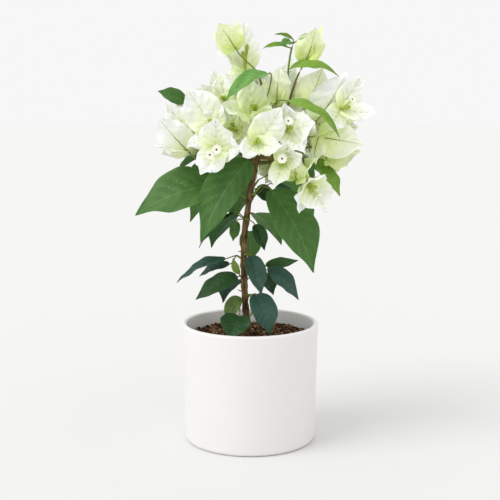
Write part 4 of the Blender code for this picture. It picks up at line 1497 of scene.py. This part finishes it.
@dataclass
class Woodwork:
    """Stem, boughs and twigs, with the bark's ridges, swollen nodes and thorns."""

    growth: Growth
    stem_sides: int = 28
    bough_sides: int = 18
    ridge_mm: float = 0.2
    node_mm: float = 0.9
    node_length_mm: float = 2.2
    thorns: int = 17
    thorn_mm: tuple[float, float] = (2.5, 5.5)
    thorn_radius_mm: tuple[float, float] = (0.8, 0.3)
    thorn_zone_mm: tuple[float, float] = (118, 250)
    thorn_steps: int = 6
    stalk_sides: int = 7
    stalk_steps: int = 10
    sprig_sides: int = 8

    def barked(
        self, path: Sequence[Vector], radii: Array, sides: int, nodes: Sequence[float], seed: str
    ) -> tuple[Array, list[Face]]:
        """Makes a limb whose surface has ridges and nodes.

        Args:
            path: Its middle line.
            radii: Its radius in mm at each point.
            sides: Points in a ring.
            nodes: Shares of its length at which a node swells.
            seed: A name that its ridges are drawn from.

        Returns:
            The points and faces.
        """
        chance = random.Random(seed)
        angles = 2 * math.pi * np.arange(sides) / sides
        run = np.linspace(0, 1, len(path))
        span = sum((b - a).length for a, b in zip(path, path[1:])) / MM
        relief = np.zeros((len(path), sides))
        for count in (3, 5, 8, 11):
            drift = chance.uniform(-0.05, 0.05) * span * run + chance.uniform(0, 6)
            fade = 0.6 + 0.4 * np.sin(run * span * chance.uniform(0.15, 0.5) + chance.uniform(0, 6))
            relief += self.ridge_mm * fade[:, None] * np.sin(count * angles[None, :] + drift[:, None])
        for node in nodes:
            bulge = np.exp(-(((run - node) * span / self.node_length_mm) ** 2))
            lean = 0.6 + 0.4 * np.cos(angles - chance.uniform(0, 6))
            relief += self.node_mm * bulge[:, None] * lean[None, :]
        share = np.minimum(1, radii / STEM_LOW_RADIUS)[:, None]
        return loft(rings_along(path, (radii[:, None] + relief * share) * MM, sides))

    def stem_radii(self) -> Array:
        """Works out the stem's taper and its flare over the soil.

        Returns:
            The radius in mm at each point.
        """
        heights = np.array([point.z for point in self.growth.stem]) / MM
        share = (heights - heights[0]) / (heights[-1] - heights[0])
        flare = np.clip(1 - (heights - heights[0]) / STEM_FLARE_HEIGHT, 0, 1) ** 2
        radii = STEM_LOW_RADIUS + (STEM_FORK_RADIUS - STEM_LOW_RADIUS) * share
        return radii + (STEM_FOOT_RADIUS - STEM_LOW_RADIUS) * flare

    def build(self) -> list[bpy.types.Object]:
        """Builds the wood.

        Returns:
            The stem, the boughs and the twigs.
        """
        growth = self.growth
        low, high = growth.stem[0].z, growth.stem[-1].z
        nodes = [(mass.along * MM - low) / (high - low) for mass in STEM_LEAVES]
        stem = Pile("barked_stem", "brown_bark")
        stem.add(self.barked(growth.stem, self.stem_radii(), self.stem_sides, nodes, "stem"), STEM_BARK)
        self.add_thorns(stem)
        boughs = Pile("barked_boughs", "brown_bark")
        for name, path in growth.boughs.items():
            radii = np.linspace(*BOUGH_MM, len(path))
            boughs.add(self.barked(path, radii, self.bough_sides, (0.5,), name), BOUGH_BARK)
        twigs = Pile("green_twigs", "brown_bark")
        for mass in ALL_MASSES:
            self.add_sprig(twigs, mass)
        return [stem.piece(["main_stem"]), boughs.piece([b.name for b in BOUGHS]), twigs.piece()]

    def add_thorns(self, pile: Pile) -> None:
        """Adds short thorns up the stem.

        Args:
            pile: The piece that they join.
        """
        chance = random.Random("thorns")
        low, high = self.thorn_zone_mm
        for i in range(self.thorns):
            height = low + (high - low) * (i + chance.random()) / self.thorns
            start, way = self.growth.off_stem(height, chance.uniform(-180, 180))
            length = chance.uniform(*self.thorn_mm) + STEM_LOW_RADIUS
            tip = start + (way + Vector((0, 0, chance.uniform(-0.1, 0.5)))) * length * MM
            path = bend(start, way, tip, (tip - start).normalized(), self.thorn_steps)
            radii = np.linspace(*self.thorn_radius_mm, len(path)) * MM
            pile.add(tube(path, radii, self.stalk_sides), STUB_WOOD)

    def add_sprig(self, pile: Pile, mass: Mass) -> None:
        """Adds a mass's own stem and the stalks of its trios.

        Args:
            pile: The piece that they join.
            mass: The mass.
        """
        line = self.growth.sprigs[mass.name]
        wood = BROWN_WOOD if mass.trios else GREEN_WOOD
        pile.add(tube(line, np.linspace(*SPRIG_MM, len(line)) * MM, self.sprig_sides), wood)
        for trio in mass.trios:
            if self.growth.bracts(mass, trio):
                middle = metres(trio.at)
                root = self.growth.root_on(mass, middle)
                way = (middle - root).normalized()
                path = bend(root, way, middle, direction(*trio.faces), self.stalk_steps)
                radii = np.linspace(*TRIO_STALK_MM, len(path)) * MM
                pile.add(tube(path, radii, self.stalk_sides), GREEN_WOOD)


@dataclass
class Foliage:
    """Every leaf: a quilted blade on its stalk, with a pale midrib and side veins."""

    growth: Growth
    usual: float = 0.56
    vein_light: float = 0.14
    cloud: float = 0.32

    def add_leaf(self, pile: Pile, mass: Mass, index: int) -> None:
        """Adds one leaf. One behind is left out where its solid has no tip.

        Args:
            pile: The piece that it joins.
            mass: The mass that bears it.
            index: Its place among the mass's leaves.
        """
        leaf = mass.leaves[index]
        base, tip = metres(leaf.base), metres(leaf.tip)
        if mass in REAR_MASSES and not self.growth.grew(mass, tip):
            return
        tops = leaf.tone.tops()
        under, rib, vein = leaf.tone.others()
        seed = f"{mass.name} leaf {index}"
        chance = random.Random(seed)
        drift = [(chance.uniform(2, 5), chance.uniform(1, 3), chance.uniform(0, 6)) for _ in range(3)]
        age = chance.uniform(-0.12, 0.12)

        def tissue(along: float, across: float, is_top: bool) -> Finish:
            """Picks a step of the upper side, paler along the side veins and clouded.

            Args:
                along: Share along the blade.
                across: Share across it, from -1 to 1.
                is_top: Whether the face is on the upper side.

            Returns:
                The finish.
            """
            if not is_top:
                return under
            vein_side = math.cos(2 * math.pi * LEAF_FORM.veins * (along - LEAF_FORM.lead * abs(across)))
            cloud = sum(math.sin(a * along * 3 + b * across * 2 + c) for a, b, c in drift) / 3
            share = self.usual + age + self.vein_light * vein_side + self.cloud * cloud
            return tops[max(0, min(LEAF_STEPS - 1, round(share * (LEAF_STEPS - 1))))]

        blade = Blade(LEAF_FORM, base, tip, direction(*leaf.faces), leaf.width * MM, leaf.arch, seed)
        blade.skin(pile, tissue)
        root = self.growth.root_on(mass, base)
        stalk = bend(root, (base - root).normalized(), base, (tip - base).normalized(), 8)
        blade.ribs(pile, (LEAF_STALK, rib, rib, vein), stalk)

    def build(self) -> list[bpy.types.Object]:
        """Builds the leaves.

        Returns:
            Those on the stem and those in the crown, as two pieces.
        """
        pieces = []
        for name, masses, replaced in (
            ("leaves_below_crown", STEM_LEAVES, [mass.name for mass in STEM_LEAVES]),
            ("leaves_in_crown", CROWN_FRONT + REAR_MASSES, []),
        ):
            pile = Pile(name, "green_leaves")
            for mass in masses:
                for index in range(len(mass.leaves)):
                    self.add_leaf(pile, mass, index)
            pieces.append(pile.piece(replaced))
        return pieces


@dataclass
class Blossom:
    """Bracts in threes, each with a small tubular flower or its bud at the middle."""

    growth: Growth
    tube_mm: float = 15.0
    bud_mm: float = 11.5
    face_mm: float = 4.3
    lean: float = 0.3
    lobes: int = 10
    lobe_cut: float = 0.2
    sides: int = 40
    throat: float = 0.35
    edge_paler: float = 0.195
    under_paler: float = 0.08

    def flower_rows(self, stretch: float) -> list[tuple[float, float, float]]:
        """Draws the open flower's profile: up the tube, over the face and down the throat.

        Args:
            stretch: The tube's length as a share of its usual one.

        Returns:
            For each row its height and radius in mm, and how deep its lobes are cut.
        """
        end, face, cut = self.tube_mm * stretch, self.face_mm, self.lobe_cut
        return [
            (0.0, 0.0, 0.0), (0.2, 0.8, 0.0), (end * 0.2, 1.2, 0.0), (end * 0.42, 0.85, 0.0),
            (end * 0.8, 1.1, 0.0), (end * 0.9, 1.6, 0.0), (end * 0.955, face * 0.6, cut * 0.4),
            (end * 0.975, face * 0.97, cut), (end * 0.985, face, cut), (end, face * 0.96, cut),
            (end * 0.995, face * 0.6, cut * 0.4), (end * 0.98, face * 0.2, 0.0),
            (end * 0.94, face * 0.14, 0.0), (end * 0.82, face * 0.1, 0.0), (end * 0.82, 0.0, 0.0),
        ]

    def flower_finish(self, row: int) -> Finish:
        """Gives the finish of the faces that follow a row of the open flower's profile.

        Args:
            row: The row's number.

        Returns:
            The finish.
        """
        if row < 6:
            return FLOWER_TUBE
        return FLOWER_FACE if row < 11 else FLOWER_THROAT

    def bud_rows(self, share: float) -> list[tuple[float, float, float]]:
        """Draws the profile of a closed bud.

        Args:
            share: Its length as a share of the full one.

        Returns:
            For each row its height and radius in mm, and how deep its lobes are cut.
        """
        end = self.bud_mm * share
        return [
            (0.0, 0.0, 0.0), (0.2, 0.7, 0.0), (end * 0.22, 1.15, 0.0), (end * 0.45, 0.8, 0.0),
            (end * 0.68, 1.15, 0.0), (end * 0.82, 1.75, 0.0), (end * 0.94, 1.35, 0.0), (end, 0.0, 0.0),
        ]

    def add_heart(self, pile: Pile, mass: Mass, trio: Trio) -> None:
        """Adds a trio's flowers and buds.

        Args:
            pile: The piece that they join.
            mass: The mass that bears the trio.
            trio: The trio.
        """
        axis = direction(*trio.faces)
        start = metres(trio.at) - axis * ROOT_DEPTH * MM
        chance = random.Random(f"{mass.name} {trio.faces}")
        for k, bract in enumerate(trio.bracts):
            reach = metres(bract.tip) - metres(trio.at)
            away = (reach - reach.dot(axis) * axis).normalized()
            way = (axis + self.lean * away).normalized()
            if k < trio.flowers:
                shape = spun(start, way, self.flower_rows(trio.stretch), self.sides, self.lobes)
                wears = []
                for row in range(len(self.flower_rows(1)) - 1):
                    wears += [self.flower_finish(row)] * self.sides
                pile.add(shape, wears)
            else:
                rows = self.bud_rows(trio.stretch * chance.uniform(0.75, 1.05))
                pile.add(spun(start, way, rows, 12), BUD_SKIN)

    def add_bracts(self, pile: Pile, mass: Mass, trio: Trio) -> None:
        """Adds a trio's bracts, as the growth places them.

        Args:
            pile: The piece that they join.
            mass: The mass that bears the trio.
            trio: The trio.
        """
        root = metres(trio.at) - direction(*trio.faces) * ROOT_DEPTH * MM
        for k, tip, inward, width in self.growth.bracts(mass, trio):
            seed = f"{mass.name} {trio.faces} {k}"
            shade = trio.tone.value + random.Random(seed).uniform(-0.06, 0.06)
            blade = Blade(BRACT_FORM, root, tip, inward, width * MM, BRACT_ARCH, seed)

            def tissue(along: float, across: float, is_top: bool, shade: float = shade) -> Finish:
                """Picks the step from the throat's green to the edge's white.

                Args:
                    along: Share along the bract.
                    across: Share across it, from -1 to 1.
                    is_top: Whether the face is on the upper side.
                    shade: How far the whole bract has gone from lime to white.

                Returns:
                    The finish.
                """
                grown = min(1.0, along * 1.4) * (0.7 + 0.3 * abs(across))
                share = shade * (self.throat + (1 - self.throat) * grown) + self.edge_paler * grown
                share += 0.0 if is_top else self.under_paler
                return BRACT_TISSUE[max(0, min(BRACT_STEPS - 1, round(share * (BRACT_STEPS - 1))))]

            blade.skin(pile, tissue)
            blade.ribs(pile, (BRACT_RIB, BRACT_RIB, BRACT_VEIN, BRACT_VEIN))

    def build(self) -> list[bpy.types.Object]:
        """Builds the blossom.

        Returns:
            Bracts and flowers of the crown's left, of its right and of its rear, as six pieces.
        """
        pieces = []
        half = len(CROWN_FRONT) // 2
        front = (("left", CROWN_FRONT[:half]), ("right", CROWN_FRONT[half:]))
        for side, masses in (*front, ("rear", REAR_MASSES)):
            bracts = Pile(f"papery_bracts_{side}", "papery_bracts")
            hearts = Pile(f"flowers_and_buds_{side}", "papery_bracts")
            for mass in masses:
                for trio in mass.trios:
                    self.add_bracts(bracts, mass, trio)
                    if self.growth.bracts(mass, trio):
                        self.add_heart(hearts, mass, trio)
            pieces += [bracts.piece([mass.name for mass in masses]), hearts.piece()]
        return pieces


@dataclass
class Studio:
    """Pale floor, soft light from the left and the camera."""

    eye: Point = (0.0, -0.929, 0.311)
    pitch: float = -8.7
    lens: float = 77.4
    sensor: float = 36.0
    floor_radius: float = 8.0
    floor_sides: int = 64
    sun_turn: float = -62.0
    sun_lift: float = 48.0
    sun_power: float = 1.1
    sun_spread: float = 38.0
    sky: str = "#F7F7F7"
    sky_power: float = 1.0

    def build(self) -> None:
        """Sets the floor, the lights, the world and the camera."""
        turns = [2 * math.pi * i / self.floor_sides for i in range(self.floor_sides)]
        rim = [Vector((math.cos(a), math.sin(a), 0.0)) * self.floor_radius for a in turns]
        data = bpy.data.meshes.new("studio_floor")
        data.from_pydata(rim, [], [tuple(range(self.floor_sides))])
        data.materials.append(STAGE_WHITE.material())
        floor = bpy.data.objects.new("studio_floor", data)
        sun = bpy.data.lights.new("soft_window", "SUN")
        sun.energy = self.sun_power
        sun.angle = math.radians(self.sun_spread)
        lamp = bpy.data.objects.new("soft_window", sun)
        lamp.rotation_mode = "QUATERNION"
        lamp.rotation_quaternion = direction(self.sun_turn, self.sun_lift).to_track_quat("Z", "Y")
        camera = bpy.data.cameras.new("camera")
        camera.lens = self.lens
        camera.sensor_width = self.sensor
        eye = bpy.data.objects.new("camera", camera)
        eye.location = self.eye
        eye.rotation_euler = (math.radians(90 + self.pitch), 0, 0)
        for thing in (floor, lamp, eye):
            bpy.context.scene.collection.objects.link(thing)
        floor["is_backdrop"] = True
        world = bpy.data.worlds.new("studio")
        world.use_nodes = True
        sky = world.node_tree.nodes["Background"]
        sky.inputs["Color"].default_value = linear(self.sky)
        sky.inputs["Strength"].default_value = self.sky_power
        scene = bpy.context.scene
        scene.world = world
        scene.camera = eye
        scene.view_settings.view_transform = "Standard"


def write_sizes() -> None:
    """Works out the dressed model's box beside the solids' box; neither is written or kept."""
    boxes = {"cad": CAD_BOX, "visual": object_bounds()}
    {name: [list(corner) for corner in box] for name, box in boxes.items()}


def main() -> None:
    """Builds the sub-assemblies in order and reports each piece."""
    logging.basicConfig(level=logging.INFO, format="%(message)s")
    Studio().build()
    growth = Growth()
    for part in (Pot(), PottingMix(), Woodwork(growth), Foliage(growth), Blossom(growth)):
        for piece in part.build():
            triangles = sum(len(face.vertices) - 2 for face in piece.data.polygons)
            logging.info("%s: %s, %d triangles", type(part).__name__, piece.name, triangles)
    write_sizes()


if __name__ == "__main__":
    main()
